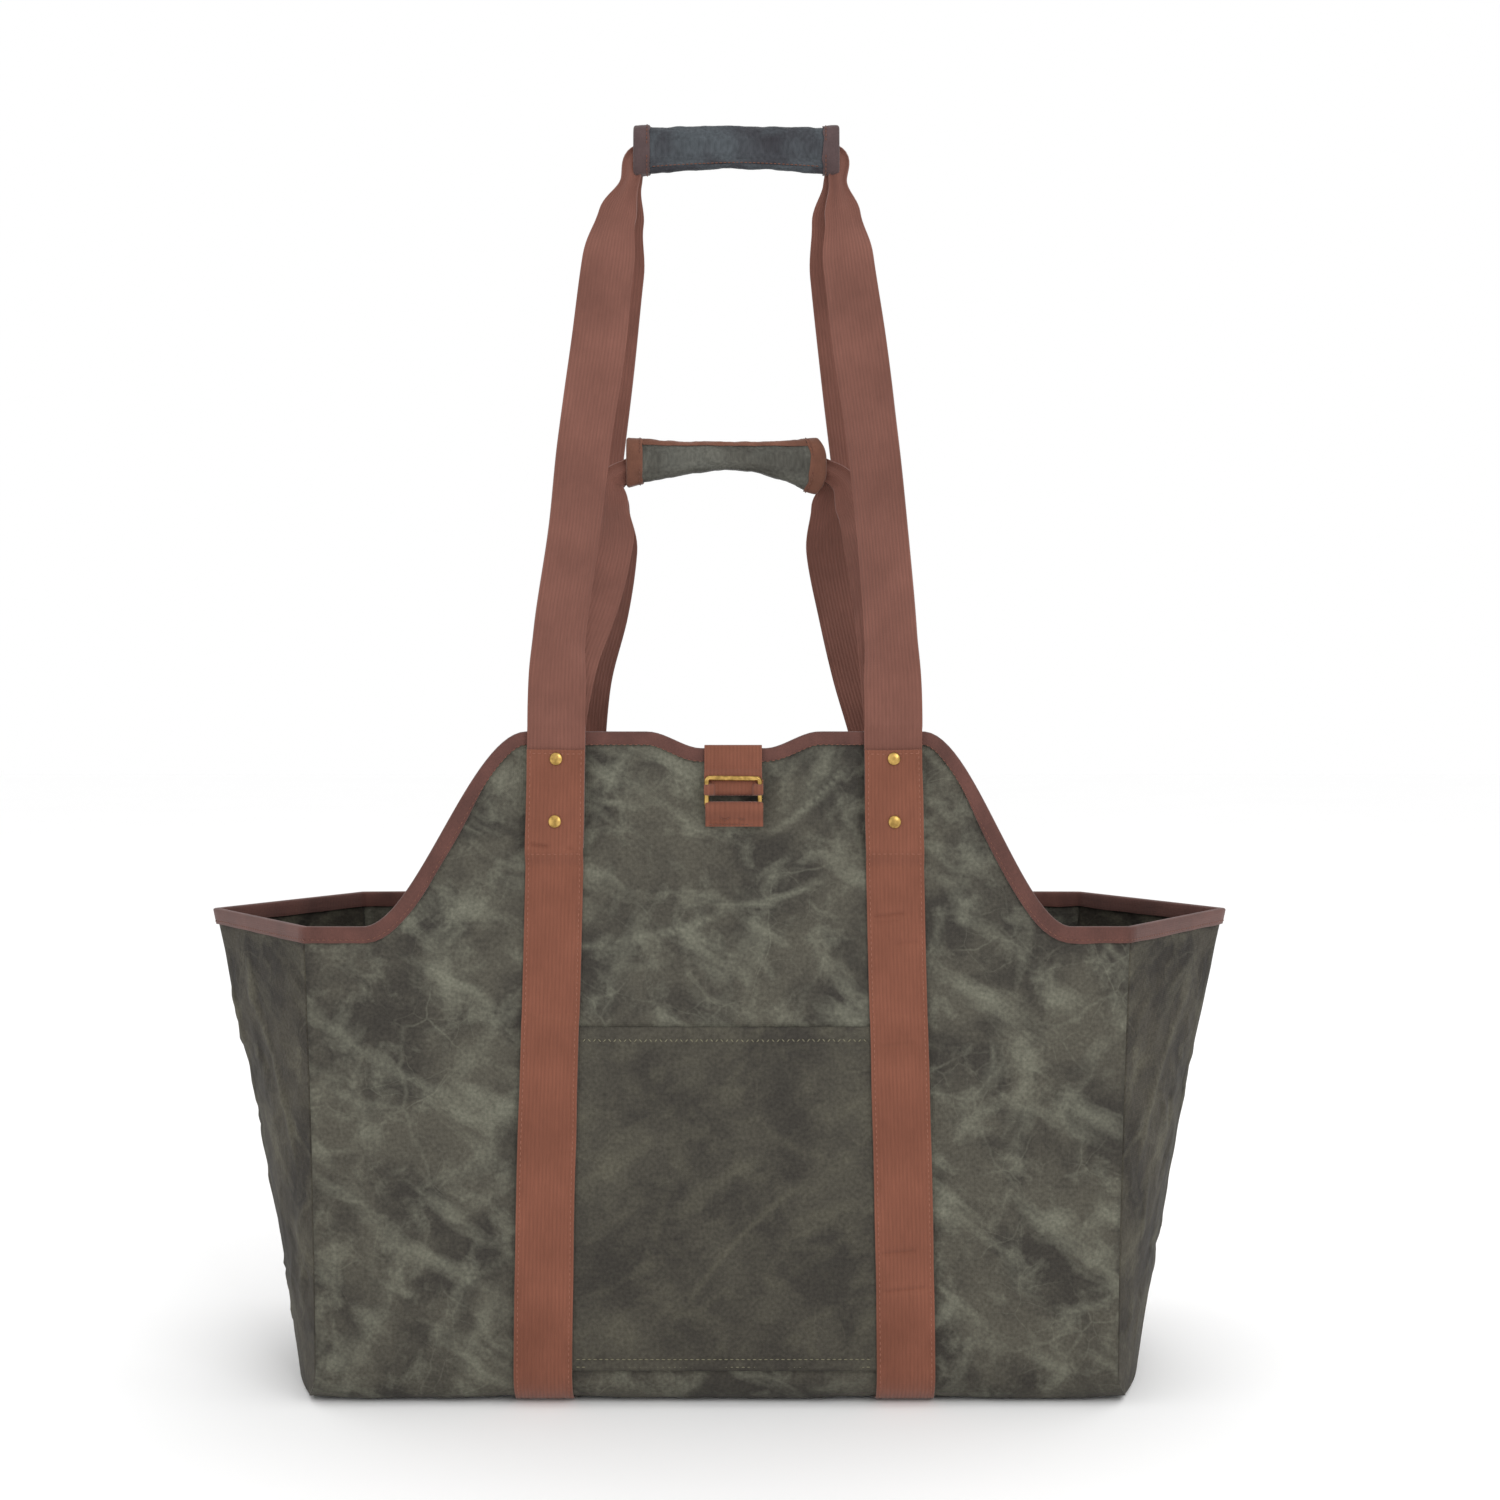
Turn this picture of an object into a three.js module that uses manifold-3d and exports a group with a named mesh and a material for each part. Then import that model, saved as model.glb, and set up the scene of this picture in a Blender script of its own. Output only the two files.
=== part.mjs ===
// Canvas log carrier: a waxed canvas tote with webbing straps, two pairs of handles and a closing strap.
// Millimetres, +Z up, +X to the right, -Y towards the front. The origin is on the floor under the middle.
import * as THREE from 'three';
import { mergeVertices } from 'three/addons/utils/BufferGeometryUtils.js';
import Module from 'manifold-3d';

const wasm = await Module();
wasm.setup();

// Cloth, webbing and clearances
const CANVAS_T = 1.5;
const WEBBING_T = 1.6;
const WEBBING_W = 38;
const TAPE_T = 1.2;
const TAPE_W = 9.5;
const CLEARANCE = 0.3;
const BAR_CLEARANCE = 0.5;
const TAPE_CLEARANCE = 0.4;

// Body of the bag
const BASE_LENGTH = 520;
const BASE_DEPTH = 256;
const BASE_BOW = 30;
const BOTTOM_RADIUS = 22;
const RIM_LENGTH = 542;
const RIM_DEPTH = 224;
const GUSSET_REACH = 84;
const BELLY = 7;

// Edge of the panels: low at the ends, high where the handles are, a little lower under the closure
const END_RIM_Z = 310;
const PEAK_Z = 438;
const BACK_DROP = 14;
const SCOOP_FOOT = 233;
const SHOULDER = 131;
const CENTRE_DIP = 11;
const DIP_FLAT = 42;
const DIP_RAMP = 36;

// Straps and handles
const STRAP_SPACING = 236;
const STRAP_SHIFT = 5;
const STRAP_PINCH = 7;
const STRAP_TOP_DROP = 11;
const HANDLE_TAIL = 64;
const TAIL_COVER = 1;
const STEP_DOWN = 12;
const RIM_LEAD = 3;
const GRIP_DROP = 0.5;
const GRIP_INSET = 14;
const GRIP_UPPER_Z = 846;
const GRIP_LOWER_Z = 626;
const GRIP_UPPER_X = 12;
const GRIP_LOWER_X = 5;
const GRIP_UPPER_LENGTH = 142;
const GRIP_LOWER_LENGTH = 138;
const GRIP_HEIGHT = 33;
const GRIP_PINCH = 13;
const GRIP_WALL = 2;
const GRIP_TAPE_W = 10;

// Pocket patch
const POCKET_TOP_Z = 247;
const POCKET_STEP_START = 1;
const POCKET_STEP_END = 9;
const POCKET_LEVEL = 45;

// Rivets
const RIVET_CAP_R = 4.2;
const RIVET_DOME = 1.8;
const RIVET_POST_R = 1.6;
const RIVET_BACK_R = 3.5;
const RIVET_EDGE = 6;
const RIVET_STEP = 41;
const RIVET_SIDES = 8;
const RIVET_BACK_T = 1;
const HOLE_OVERRUN = 2;

// Closure strap, its two rings and their tab
const CLOSURE_X = 10.5;
const CLOSURE_SAG = 20;
const CLOSURE_TAIL = 9;
const CLOSURE_BACK_REACH = 50;
const CLOSURE_LEAVE = 120;
const RIM_DROP = 12;
const RING_WIRE_R = 1.65;
const RING_INNER_W = 31.4;
const RING_CORNER_R = 2;
const RING_TOP_Z = 408;
const RING_PITCH = 7.3;
const RING_WIRE_SIDES = 8;
const TAB_BOTTOM_Z = 377;
const TAB_FOLD_DROP = 18.5;
const TAB_SWELL = 0.4;
const TAB_FOLD_LENGTH = 3;

// Colours
const CANVAS_COLOUR = '#5a5850';
const POCKET_COLOUR = '#504c45';
const BODY_WEBBING_COLOUR = '#8b5846';
const HANDLE_WEBBING_COLOUR = '#835a4f';
const TAPE_COLOUR = '#6b4238';
const GRIP_UPPER_COLOUR = '#4f5558';
const GRIP_LOWER_COLOUR = '#5d625a';
const BRASS_COLOUR = '#c9a55f';

// Worked out from the sizes above
const HALF_T = CANVAS_T / 2;
const FRONT = -1;
const BACK = 1;
const LEFT = -1;
const RIGHT = 1;
const BASE_MID = WEBBING_T + CLEARANCE + HALF_T;
const ARC_TOP = BASE_MID + BOTTOM_RADIUS;
const ARC_CENTRE_Y = BASE_DEPTH / 2 - BOTTOM_RADIUS;
const TAPE_INNER = HALF_T + TAPE_CLEARANCE;
const TAPE_OUTER = TAPE_INNER + TAPE_T;
const SHORT_LAYER = TAPE_OUTER + CLEARANCE;
const LONG_LAYER = SHORT_LAYER + WEBBING_T + CLEARANCE;
const STRAP_OVER_HANDLES = LONG_LAYER + WEBBING_T + CLEARANCE;
const STRAP_ON_PANEL = HALF_T + CLEARANCE;
const STRAP_ON_POCKET = STRAP_ON_PANEL + CANVAS_T + CLEARANCE;
const WEBBING_AREA = WEBBING_W * WEBBING_T;

const vec = (x, y, z) => new THREE.Vector3(x, y, z);
const mix = THREE.MathUtils.lerp;
const clamp = THREE.MathUtils.clamp;
const smooth = (t) => THREE.MathUtils.smoothstep(t, 0, 1);
const radians = THREE.MathUtils.degToRad;

// Numbers from first to last in equal steps
function steps(first, last, count) {
  return Array.from({ length: count + 1 }, (_, i) => mix(first, last, i / count));
}

// Soft dents pushed into the front and back panels. x is a share of half the rim length, z of the peak
// height, radius of the rim length and depth of the rim depth.
const DENTS = [
  { x: -0.76, z: 0.47, radius: 0.085, depth: 0.022 },
  { x: 0.78, z: 0.36, radius: 0.085, depth: 0.022 },
  { x: -0.02, z: 0.68, radius: 0.06, depth: 0.012 },
];

const peakOf = (side) => (side === BACK ? PEAK_Z - BACK_DROP : PEAK_Z);

// Height of the edge of the front or back panel
function rimHeight(x, side) {
  const shoulder = SHOULDER + Math.sign(x) * STRAP_SHIFT;
  const rise = smooth((SCOOP_FOOT - Math.abs(x)) / (SCOOP_FOOT - shoulder));
  const fromClosure = (Math.abs(x - CLOSURE_X) - DIP_FLAT / 2) / DIP_RAMP;
  const dip = CENTRE_DIP * (1 - smooth(fromClosure));
  return mix(END_RIM_Z, peakOf(side), rise) - dip;
}

// Half length of the bag at a corner seam
function seamX(z) {
  return mix(BASE_LENGTH, RIM_LENGTH, clamp(z / END_RIM_Z, 0, 1) ** 1.5) / 2;
}

// Distance of a panel's middle surface from the plane between front and back
function wallY(x, z) {
  const rise = (z - ARC_TOP) / (END_RIM_Z - ARC_TOP);
  const height = clamp((z - ARC_TOP) / (PEAK_Z - ARC_TOP), 0, 1);
  const half = RIM_LENGTH / 2;
  const bulge = BELLY * Math.sin(Math.PI * height) * (1 - (x / half) ** 2);
  let dents = 0;
  for (const dent of DENTS) {
    const far = Math.hypot(x - dent.x * half, z - dent.z * PEAK_Z) / (dent.radius * RIM_LENGTH);
    dents += dent.depth * RIM_DEPTH * Math.exp(-far * far);
  }
  const fade = smooth(height * 6) * (1 - (x / half) ** 4);
  return mix(BASE_DEPTH, RIM_DEPTH, rise) / 2 + bulge - dents * fade;
}

// Point at an offset from a panel's middle surface, measured square to it
function wallPoint(x, z, side, offset) {
  const slopeX = wallY(x + 0.5, z) - wallY(x - 0.5, z);
  const slopeZ = wallY(x, z + 0.5) - wallY(x, z - 0.5);
  const normal = vec(-slopeX, side, -slopeZ).normalize();
  return vec(x, side * wallY(x, z), z).addScaledVector(normal, offset);
}

// The path round the bag from front to back: places on a wall, on a bottom bend or on the base
const onWall = (side, z) => ({ side, z });
const onBend = (side, angle) => ({ side, angle });
const onBase = (y) => ({ y });

// Point of the main panel at one of those places
function bodyPoint(x, place, offset) {
  if (place.y !== undefined) return vec(x, place.y, BASE_MID - offset);
  if (place.z !== undefined) return wallPoint(x, place.z, place.side, offset);
  const reach = BOTTOM_RADIUS + offset;
  const turn = radians(place.angle);
  return vec(x, place.side * (ARC_CENTRE_Y + reach * Math.cos(turn)), ARC_TOP - reach * Math.sin(turn));
}

// Half length of the base at a distance from the middle plane
const baseEndX = (y) => BASE_LENGTH / 2 + BASE_BOW * (1 - (y / (BASE_DEPTH / 2)) ** 2);

// Half length of the main panel at a place
function panelEndX(place) {
  if (place.y !== undefined) return baseEndX(place.y) - HALF_T - CLEARANCE;
  if (place.z !== undefined) return seamX(place.z);
  return mix(seamX(ARC_TOP), baseEndX(ARC_CENTRE_Y) - HALF_T - CLEARANCE, smooth(place.angle / 90));
}

const BEND_ANGLES = [22.5, 45, 67.5, 90];
const BASE_SHARES = [-0.5, 0, 0.5];

// Geometry from points and triangles
function geometryOf(points, triangles) {
  const geometry = new THREE.BufferGeometry();
  const flat = points.flatMap((point) => [point.x, point.y, point.z]);
  geometry.setAttribute('position', new THREE.Float32BufferAttribute(flat, 3));
  geometry.setIndex(triangles.flat());
  return geometry;
}

// Volume enclosed by triangles: negative when they face inwards
function signedVolume(points, triangles) {
  const sixfold = ([a, b, c]) => points[a].dot(vec().crossVectors(points[b], points[c]));
  return triangles.reduce((sum, triangle) => sum + sixfold(triangle), 0);
}

// Closed geometry whose faces point outwards
function closedSolid(points, triangles) {
  const turned = signedVolume(points, triangles) < 0;
  return geometryOf(points, turned ? triangles.map(([a, b, c]) => [a, c, b]) : triangles);
}

// Two triangles for each cell between two rings of indexes
function bridge(first, second, closed) {
  const cells = [];
  const count = closed ? first.length : first.length - 1;
  for (let i = 0; i < count; i++) {
    const j = (i + 1) % first.length;
    cells.push([first[i], first[j], second[j]], [first[i], second[j], second[i]]);
  }
  return cells;
}

// Sheet of cloth between an outer and an inner grid of points
function sheetSolid(outer, inner) {
  const width = outer[0].length;
  const size = outer.length * width;
  const points = [...outer.flat(), ...inner.flat()];
  const row = (r, shift) => Array.from({ length: width }, (_, i) => shift + r * width + i);
  const triangles = [];
  for (let r = 0; r + 1 < outer.length; r++) {
    triangles.push(...bridge(row(r, 0), row(r + 1, 0), false));
    triangles.push(...bridge(row(r + 1, size), row(r, size), false));
  }
  const last = outer.length - 1;
  const border = [
    ...row(0, 0),
    ...Array.from({ length: last }, (_, r) => (r + 1) * width + width - 1),
    ...row(last, 0).reverse().slice(1),
    ...Array.from({ length: last - 1 }, (_, r) => (last - 1 - r) * width),
  ];
  triangles.push(...bridge(border.map((i) => i + size), border, true));
  return closedSolid(points, triangles);
}

// Bar swept through sections with the same number of points, with flat ends
function barSolid(sections) {
  const count = sections[0].length;
  const ring = (s) => Array.from({ length: count }, (_, i) => s * count + i);
  const triangles = [];
  for (let s = 0; s + 1 < sections.length; s++) triangles.push(...bridge(ring(s), ring(s + 1), true));
  const last = ring(sections.length - 1);
  for (let i = 1; i + 1 < count; i++) {
    triangles.push([0, i + 1, i], [last[0], last[i], last[i + 1]]);
  }
  return closedSolid(sections.flat(), triangles);
}

// The same swept round a closed loop
function loopSolid(sections) {
  const count = sections[0].length;
  const ring = (s) => Array.from({ length: count }, (_, i) => (s % sections.length) * count + i);
  const triangles = sections.flatMap((_, s) => bridge(ring(s), ring(s + 1), true));
  return closedSolid(sections.flat(), triangles);
}

// Solid for joining and cutting
function manifoldOf(geometry) {
  const bare = geometry.clone();
  bare.deleteAttribute('normal');
  bare.deleteAttribute('uv');
  const merged = mergeVertices(bare, 1e-4);
  const mesh = new wasm.Mesh({
    numProp: 3,
    vertProperties: merged.attributes.position.array,
    triVerts: Uint32Array.from(merged.index.array),
  });
  mesh.merge();
  return new wasm.Manifold(mesh);
}

// Geometry with holes cut through it
function cut(geometry, tools) {
  let solid = manifoldOf(geometry);
  for (const tool of tools) solid = solid.subtract(manifoldOf(tool));
  const mesh = solid.getMesh();
  const result = new THREE.BufferGeometry();
  result.setAttribute('position', new THREE.Float32BufferAttribute(mesh.vertProperties, 3));
  result.setIndex([...mesh.triVerts]);
  return result;
}

// Distance of a strap's centre line from the middle, drawn together towards the rim
function strapX(hand, z) {
  return STRAP_SHIFT + hand * (STRAP_SPACING / 2 - STRAP_PINCH * smooth(z / PEAK_Z));
}

// Places on the main panel from the front edge to the back edge, under one column of cloth
function bodyPath(frontTop, backTop, wallRows) {
  return [
    ...steps(frontTop, ARC_TOP, wallRows).map((z) => onWall(FRONT, z)),
    ...BEND_ANGLES.map((angle) => onBend(FRONT, angle)),
    ...BASE_SHARES.map((share) => onBase(ARC_CENTRE_Y * share)),
    ...[...BEND_ANGLES].reverse().map((angle) => onBend(BACK, angle)),
    ...steps(ARC_TOP, backTop, wallRows).map((z) => onWall(BACK, z)),
  ];
}

// Columns of the main panel, closer together where its edge curves, as shares of half the rim length
function panelColumns() {
  const half = RIM_LENGTH / 2;
  const left = [
    { from: -half, to: -SCOOP_FOOT, count: 2 },
    { from: -SCOOP_FOOT, to: -SHOULDER + STRAP_SHIFT, count: 5 },
    { from: -SHOULDER + STRAP_SHIFT, to: CLOSURE_X - DIP_FLAT / 2 - DIP_RAMP, count: 3 },
    { from: CLOSURE_X - DIP_FLAT / 2 - DIP_RAMP, to: CLOSURE_X - DIP_FLAT / 2, count: 3 },
  ];
  const right = [
    { from: CLOSURE_X + DIP_FLAT / 2, to: CLOSURE_X + DIP_FLAT / 2 + DIP_RAMP, count: 3 },
    { from: CLOSURE_X + DIP_FLAT / 2 + DIP_RAMP, to: SHOULDER + STRAP_SHIFT, count: 3 },
    { from: SHOULDER + STRAP_SHIFT, to: SCOOP_FOOT, count: 5 },
    { from: SCOOP_FOOT, to: half, count: 2 },
  ];
  const columns = left.flatMap((span) => steps(span.from, span.to, span.count).slice(0, -1));
  columns.push(CLOSURE_X - DIP_FLAT / 2);
  columns.push(...right.flatMap((span) => steps(span.from, span.to, span.count).slice(0, -1)));
  columns.push(half);
  return columns.map((x) => x / half);
}

const COLUMNS = panelColumns();
const WALL_ROWS = 6;

// One U-shaped piece of canvas: front, base and back
function mainPanel() {
  const half = RIM_LENGTH / 2;
  const top = (u, side) => rimHeight(u * half, side);
  const paths = COLUMNS.map((u) => bodyPath(top(u, FRONT), top(u, BACK), WALL_ROWS));
  const grid = (offset) => paths[0].map((_, r) => COLUMNS.map((u, c) => {
    const place = paths[c][r];
    return bodyPoint(u * panelEndX(place), place, offset);
  }));
  return sheetSolid(grid(HALF_T), grid(-HALF_T));
}

// Half depth of the main panel's end at a height, along which a gusset is sewn
function seamY(z) {
  if (z >= ARC_TOP) return wallY(seamX(z), z);
  return ARC_CENTRE_Y + Math.sqrt(Math.max(0, BOTTOM_RADIUS ** 2 - (ARC_TOP - z) ** 2));
}

// Middle surface of a gusset: bowed like the base at the bottom, a sharp fold at the rim
function gussetX(y, z) {
  const rise = clamp(z / END_RIM_Z, 0, 1.1);
  const depth = seamY(z);
  const seam = z >= ARC_TOP ? seamX(z) : baseEndX(depth);
  const fold = mix(BASE_LENGTH / 2 + BASE_BOW, RIM_LENGTH / 2 + GUSSET_REACH, rise);
  const across = Math.abs(y) / depth;
  const shape = mix(1 - across * across, 1 - across, clamp(rise, 0, 1));
  return seam + (fold - seam) * shape;
}

// Point at an offset from a gusset's middle surface
function gussetPoint(hand, y, z, offset) {
  const inward = -Math.sign(y) || 1;
  const slopeY = gussetX(y + inward, z) - gussetX(y, z);
  const slopeZ = gussetX(y, z + 0.5) - gussetX(y, z - 0.5);
  const stretch = Math.sqrt(1 + slopeY * slopeY + slopeZ * slopeZ);
  return vec(hand * (gussetX(y, z) + offset * stretch), y, z);
}

const GUSSET_SHARES = [-1, -0.85, -0.65, -0.42, -0.2, 0, 0.2, 0.42, 0.65, 0.85, 1];

// End piece of canvas, sewn inside the end of the main panel
function gusset(hand) {
  const inset = HALF_T + CLEARANCE;
  const radius = BOTTOM_RADIUS - inset;
  const rows = [
    ...[END_RIM_Z, ...steps(END_RIM_Z - TAPE_W, ARC_TOP, 6)].map((z) => ({ z, reach: seamY(z) - inset })),
    ...BEND_ANGLES.map((angle) => ({
      z: ARC_TOP - radius * Math.sin(radians(angle)),
      reach: ARC_CENTRE_Y + radius * Math.cos(radians(angle)),
    })),
  ];
  const grid = (offset) => rows.map(({ z, reach }) =>
    GUSSET_SHARES.map((share) => gussetPoint(hand, share * reach, z, offset)));
  return sheetSolid(grid(HALF_T), grid(-HALF_T));
}

// Corners of the folded tape's section: offset from the cloth and depth below its edge
const TAPE_SECTION = [
  { offset: TAPE_OUTER, depth: TAPE_W },
  { offset: TAPE_OUTER, depth: -CLEARANCE - TAPE_T },
  { offset: -TAPE_OUTER, depth: -CLEARANCE - TAPE_T },
  { offset: -TAPE_OUTER, depth: TAPE_W },
  { offset: -TAPE_INNER, depth: TAPE_W },
  { offset: -TAPE_INNER, depth: -CLEARANCE },
  { offset: TAPE_INNER, depth: -CLEARANCE },
  { offset: TAPE_INNER, depth: TAPE_W },
];

// Sections of the tape along a panel's edge, square to that edge
function panelTape(side) {
  const half = RIM_LENGTH / 2;
  return COLUMNS.slice(1, -1).map((u) => {
    const x = u * half;
    const slope = (rimHeight(x + 1, side) - rimHeight(x - 1, side)) / 2;
    const square = vec(slope, 0, -1).normalize();
    const z = rimHeight(x, side);
    return TAPE_SECTION.map(({ offset, depth }) =>
      wallPoint(x + square.x * depth, z + square.z * depth, side, offset));
  });
}

// Sections of the tape along a gusset's edge, with a mitre at both seams
function gussetTape(hand) {
  const z = END_RIM_Z;
  return GUSSET_SHARES.map((share) => TAPE_SECTION.map(({ offset, depth }) => {
    const seam = seamY(z - depth) + offset;
    const y = Math.abs(share) === 1 ? share * seam : share * seamY(z - depth);
    return gussetPoint(hand, y, z - depth, offset);
  }));
}

// Brown tape folded over the whole rim in one closed loop
function rimBinding() {
  return loopSolid([
    ...panelTape(FRONT),
    ...gussetTape(RIGHT),
    ...panelTape(BACK).reverse(),
    ...gussetTape(LEFT).reverse(),
  ]);
}

// Canvas patch on the front, with its sides under the straps
function pocketPatch() {
  const rows = steps(ARC_TOP, POCKET_TOP_Z, 5);
  const shares = steps(0, 1, 6);
  const grid = (offset) => rows.map((z) => shares.map((share) =>
    wallPoint(mix(strapX(LEFT, z), strapX(RIGHT, z), share), z, FRONT, offset)));
  const inner = HALF_T + CLEARANCE;
  return sheetSolid(grid(inner + CANVAS_T), grid(inner));
}

// Section of flat webbing on the main panel
function webbingSection(x, place, offset, width = WEBBING_W) {
  const near = [x - width / 2, x + width / 2].map((edge) => bodyPoint(edge, place, offset));
  const far = [x + width / 2, x - width / 2].map((edge) => bodyPoint(edge, place, offset + WEBBING_T));
  return [...near, ...far];
}

const strapTop = (side) => peakOf(side) - STRAP_TOP_DROP;
const handleTail = (side) => strapTop(side) - HANDLE_TAIL;

// Webbing down the front, under the base and up the back, over the tails of the handles
function bodyStrap(hand) {
  const wall = (side, overPocket) => {
    const tail = handleTail(side) - TAIL_COVER;
    const rows = [
      { z: strapTop(side), offset: STRAP_OVER_HANDLES },
      { z: mix(strapTop(side), tail, 0.5), offset: STRAP_OVER_HANDLES },
      { z: tail, offset: STRAP_OVER_HANDLES },
      { z: tail - STEP_DOWN, offset: STRAP_ON_PANEL },
      { z: POCKET_TOP_Z + POCKET_LEVEL, offset: STRAP_ON_PANEL },
      { z: POCKET_TOP_Z + POCKET_STEP_END, offset: STRAP_ON_PANEL },
      { z: POCKET_TOP_Z + POCKET_STEP_START, offset: overPocket },
      ...[0.8, 0.6, 0.4, 0.2].map((share) => (
        { z: mix(ARC_TOP, POCKET_TOP_Z, share), offset: overPocket })),
      { z: ARC_TOP, offset: overPocket },
    ];
    return rows.map(({ z, offset }) => ({ place: onWall(side, z), x: strapX(hand, z), offset }));
  };
  const bend = (side, overPocket) => BEND_ANGLES.map((angle) => ({
    place: onBend(side, angle),
    x: strapX(hand, 0),
    offset: mix(overPocket, STRAP_ON_PANEL, clamp(angle / 45, 0, 1)),
  }));
  const stations = [
    ...wall(FRONT, STRAP_ON_POCKET),
    ...bend(FRONT, STRAP_ON_POCKET),
    ...BASE_SHARES.map((share) => ({
      place: onBase(ARC_CENTRE_Y * share), x: strapX(hand, 0), offset: STRAP_ON_PANEL,
    })),
    ...bend(BACK, STRAP_ON_PANEL).reverse(),
    ...wall(BACK, STRAP_ON_PANEL).reverse(),
  ];
  return barSolid(stations.map(({ place, x, offset }) => webbingSection(x, place, offset)));
}

// Route of a strand of webbing from the rim, at 0, to the end of its grip, at 1: across and in are shares of
// the way sideways and inwards, open is the share of the webbing's full width, turn its twist in degrees.
const LONG_FRONT_LEFT = [
  { at: 0.05, across: 0, in: 0.03, open: 1, turn: 5 },
  { at: 0.15, across: 0.02, in: 0.12, open: 1, turn: 30 },
  { at: 0.32, across: 0.19, in: 0.3, open: 1, turn: 31 },
  { at: 0.48, across: 0.315, in: 0.47, open: 1, turn: 24 },
  { at: 0.65, across: 0.49, in: 0.66, open: 1, turn: 12 },
  { at: 0.8, across: 0.61, in: 0.83, open: 0.97, turn: 14 },
  { at: 0.9, across: 0.65, in: 0.94, open: 0.72, turn: 0 },
  { at: 0.96, across: 0.66, in: 0.985, open: 0.46, turn: 0 },
];
const LONG_FRONT_RIGHT = [
  { at: 0.05, across: 0, in: 0.03, open: 1, turn: 5 },
  { at: 0.15, across: 0.03, in: 0.12, open: 1, turn: 28 },
  { at: 0.32, across: 0.16, in: 0.3, open: 1, turn: 30 },
  { at: 0.48, across: 0.33, in: 0.47, open: 1, turn: 28 },
  { at: 0.65, across: 0.57, in: 0.66, open: 1, turn: 16 },
  { at: 0.8, across: 0.78, in: 0.83, open: 0.96, turn: 18 },
  { at: 0.9, across: 0.72, in: 0.94, open: 0.7, turn: 0 },
  { at: 0.96, across: 0.66, in: 0.985, open: 0.46, turn: 0 },
];
const LONG_BACK_LEFT = [
  { at: 0.05, across: 0.01, in: 0.03, open: 1, turn: 0 },
  { at: 0.15, across: 0.06, in: 0.12, open: 1, turn: 20 },
  { at: 0.32, across: 0.2, in: 0.3, open: 1, turn: 22 },
  { at: 0.48, across: 0.35, in: 0.47, open: 1, turn: 16 },
  { at: 0.65, across: 0.54, in: 0.66, open: 1, turn: 6 },
  { at: 0.8, across: 0.71, in: 0.83, open: 0.97, turn: 0 },
  { at: 0.9, across: 0.68, in: 0.94, open: 0.72, turn: 0 },
  { at: 0.96, across: 0.66, in: 0.985, open: 0.46, turn: 0 },
];
const LONG_BACK_RIGHT = [
  { at: 0.05, across: 0.01, in: 0.03, open: 1, turn: 0 },
  { at: 0.15, across: 0.06, in: 0.12, open: 1, turn: 20 },
  { at: 0.32, across: 0.25, in: 0.3, open: 1, turn: 22 },
  { at: 0.48, across: 0.5, in: 0.47, open: 1, turn: 16 },
  { at: 0.65, across: 0.76, in: 0.66, open: 1, turn: 6 },
  { at: 0.8, across: 0.92, in: 0.83, open: 0.97, turn: 0 },
  { at: 0.9, across: 0.76, in: 0.94, open: 0.7, turn: 0 },
  { at: 0.96, across: 0.66, in: 0.985, open: 0.46, turn: 0 },
];
const SHORT_LEFT = [
  { at: 0.24, across: 0.16, in: 0.21, open: 1, turn: 10 },
  { at: 0.47, across: 0.48, in: 0.46, open: 1, turn: 14 },
  { at: 0.7, across: 0.7, in: 0.74, open: 0.92, turn: 8 },
  { at: 0.84, across: 0.7, in: 0.92, open: 0.66, turn: 0 },
  { at: 0.93, across: 0.72, in: 0.985, open: 0.46, turn: 0 },
];
const SHORT_FRONT_RIGHT = [
  { at: 0.24, across: 0.06, in: 0.21, open: 1, turn: 10 },
  { at: 0.47, across: 0.14, in: 0.46, open: 1, turn: 14 },
  { at: 0.68, across: 0.3, in: 0.72, open: 0.9, turn: 8 },
  { at: 0.82, across: 0.5, in: 0.9, open: 0.68, turn: 0 },
  { at: 0.93, across: 0.7, in: 0.985, open: 0.46, turn: 0 },
];
const SHORT_BACK_RIGHT = [
  { at: 0.24, across: 0.34, in: 0.21, open: 1, turn: 10 },
  { at: 0.47, across: 0.62, in: 0.46, open: 1, turn: 14 },
  { at: 0.7, across: 0.84, in: 0.74, open: 1, turn: 8 },
  { at: 0.84, across: 0.72, in: 0.92, open: 0.65, turn: 0 },
  { at: 0.93, across: 0.72, in: 0.985, open: 0.46, turn: 0 },
];

// Webbing width in a grip, as a share of the grip's height, at its ends and in its middle
const GRIPPED_END = 0.46;
const GRIPPED_MIDDLE = 0.74;
const GRIPPED_PINCHED = 0.703;

const UPPER = {
  x: GRIP_UPPER_X,
  z: GRIP_UPPER_Z,
  half: GRIP_UPPER_LENGTH / 2,
  pinch: 0,
  middleWidth: GRIP_HEIGHT * GRIPPED_MIDDLE,
};
const LOWER = {
  x: GRIP_LOWER_X,
  z: GRIP_LOWER_Z,
  half: GRIP_LOWER_LENGTH / 2,
  pinch: GRIP_PINCH,
  middleWidth: (GRIP_HEIGHT - GRIP_PINCH) * GRIPPED_PINCHED,
};

// Height of a grip and of the webbing in it, at a share of the way from the middle to an end
const gripHeight = (grip, share) => GRIP_HEIGHT - grip.pinch * (1 - Math.abs(share) ** 1.5);
const gripped = (grip, share) => mix(grip.middleWidth, GRIP_HEIGHT * GRIPPED_END, smooth(Math.abs(share)));

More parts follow.
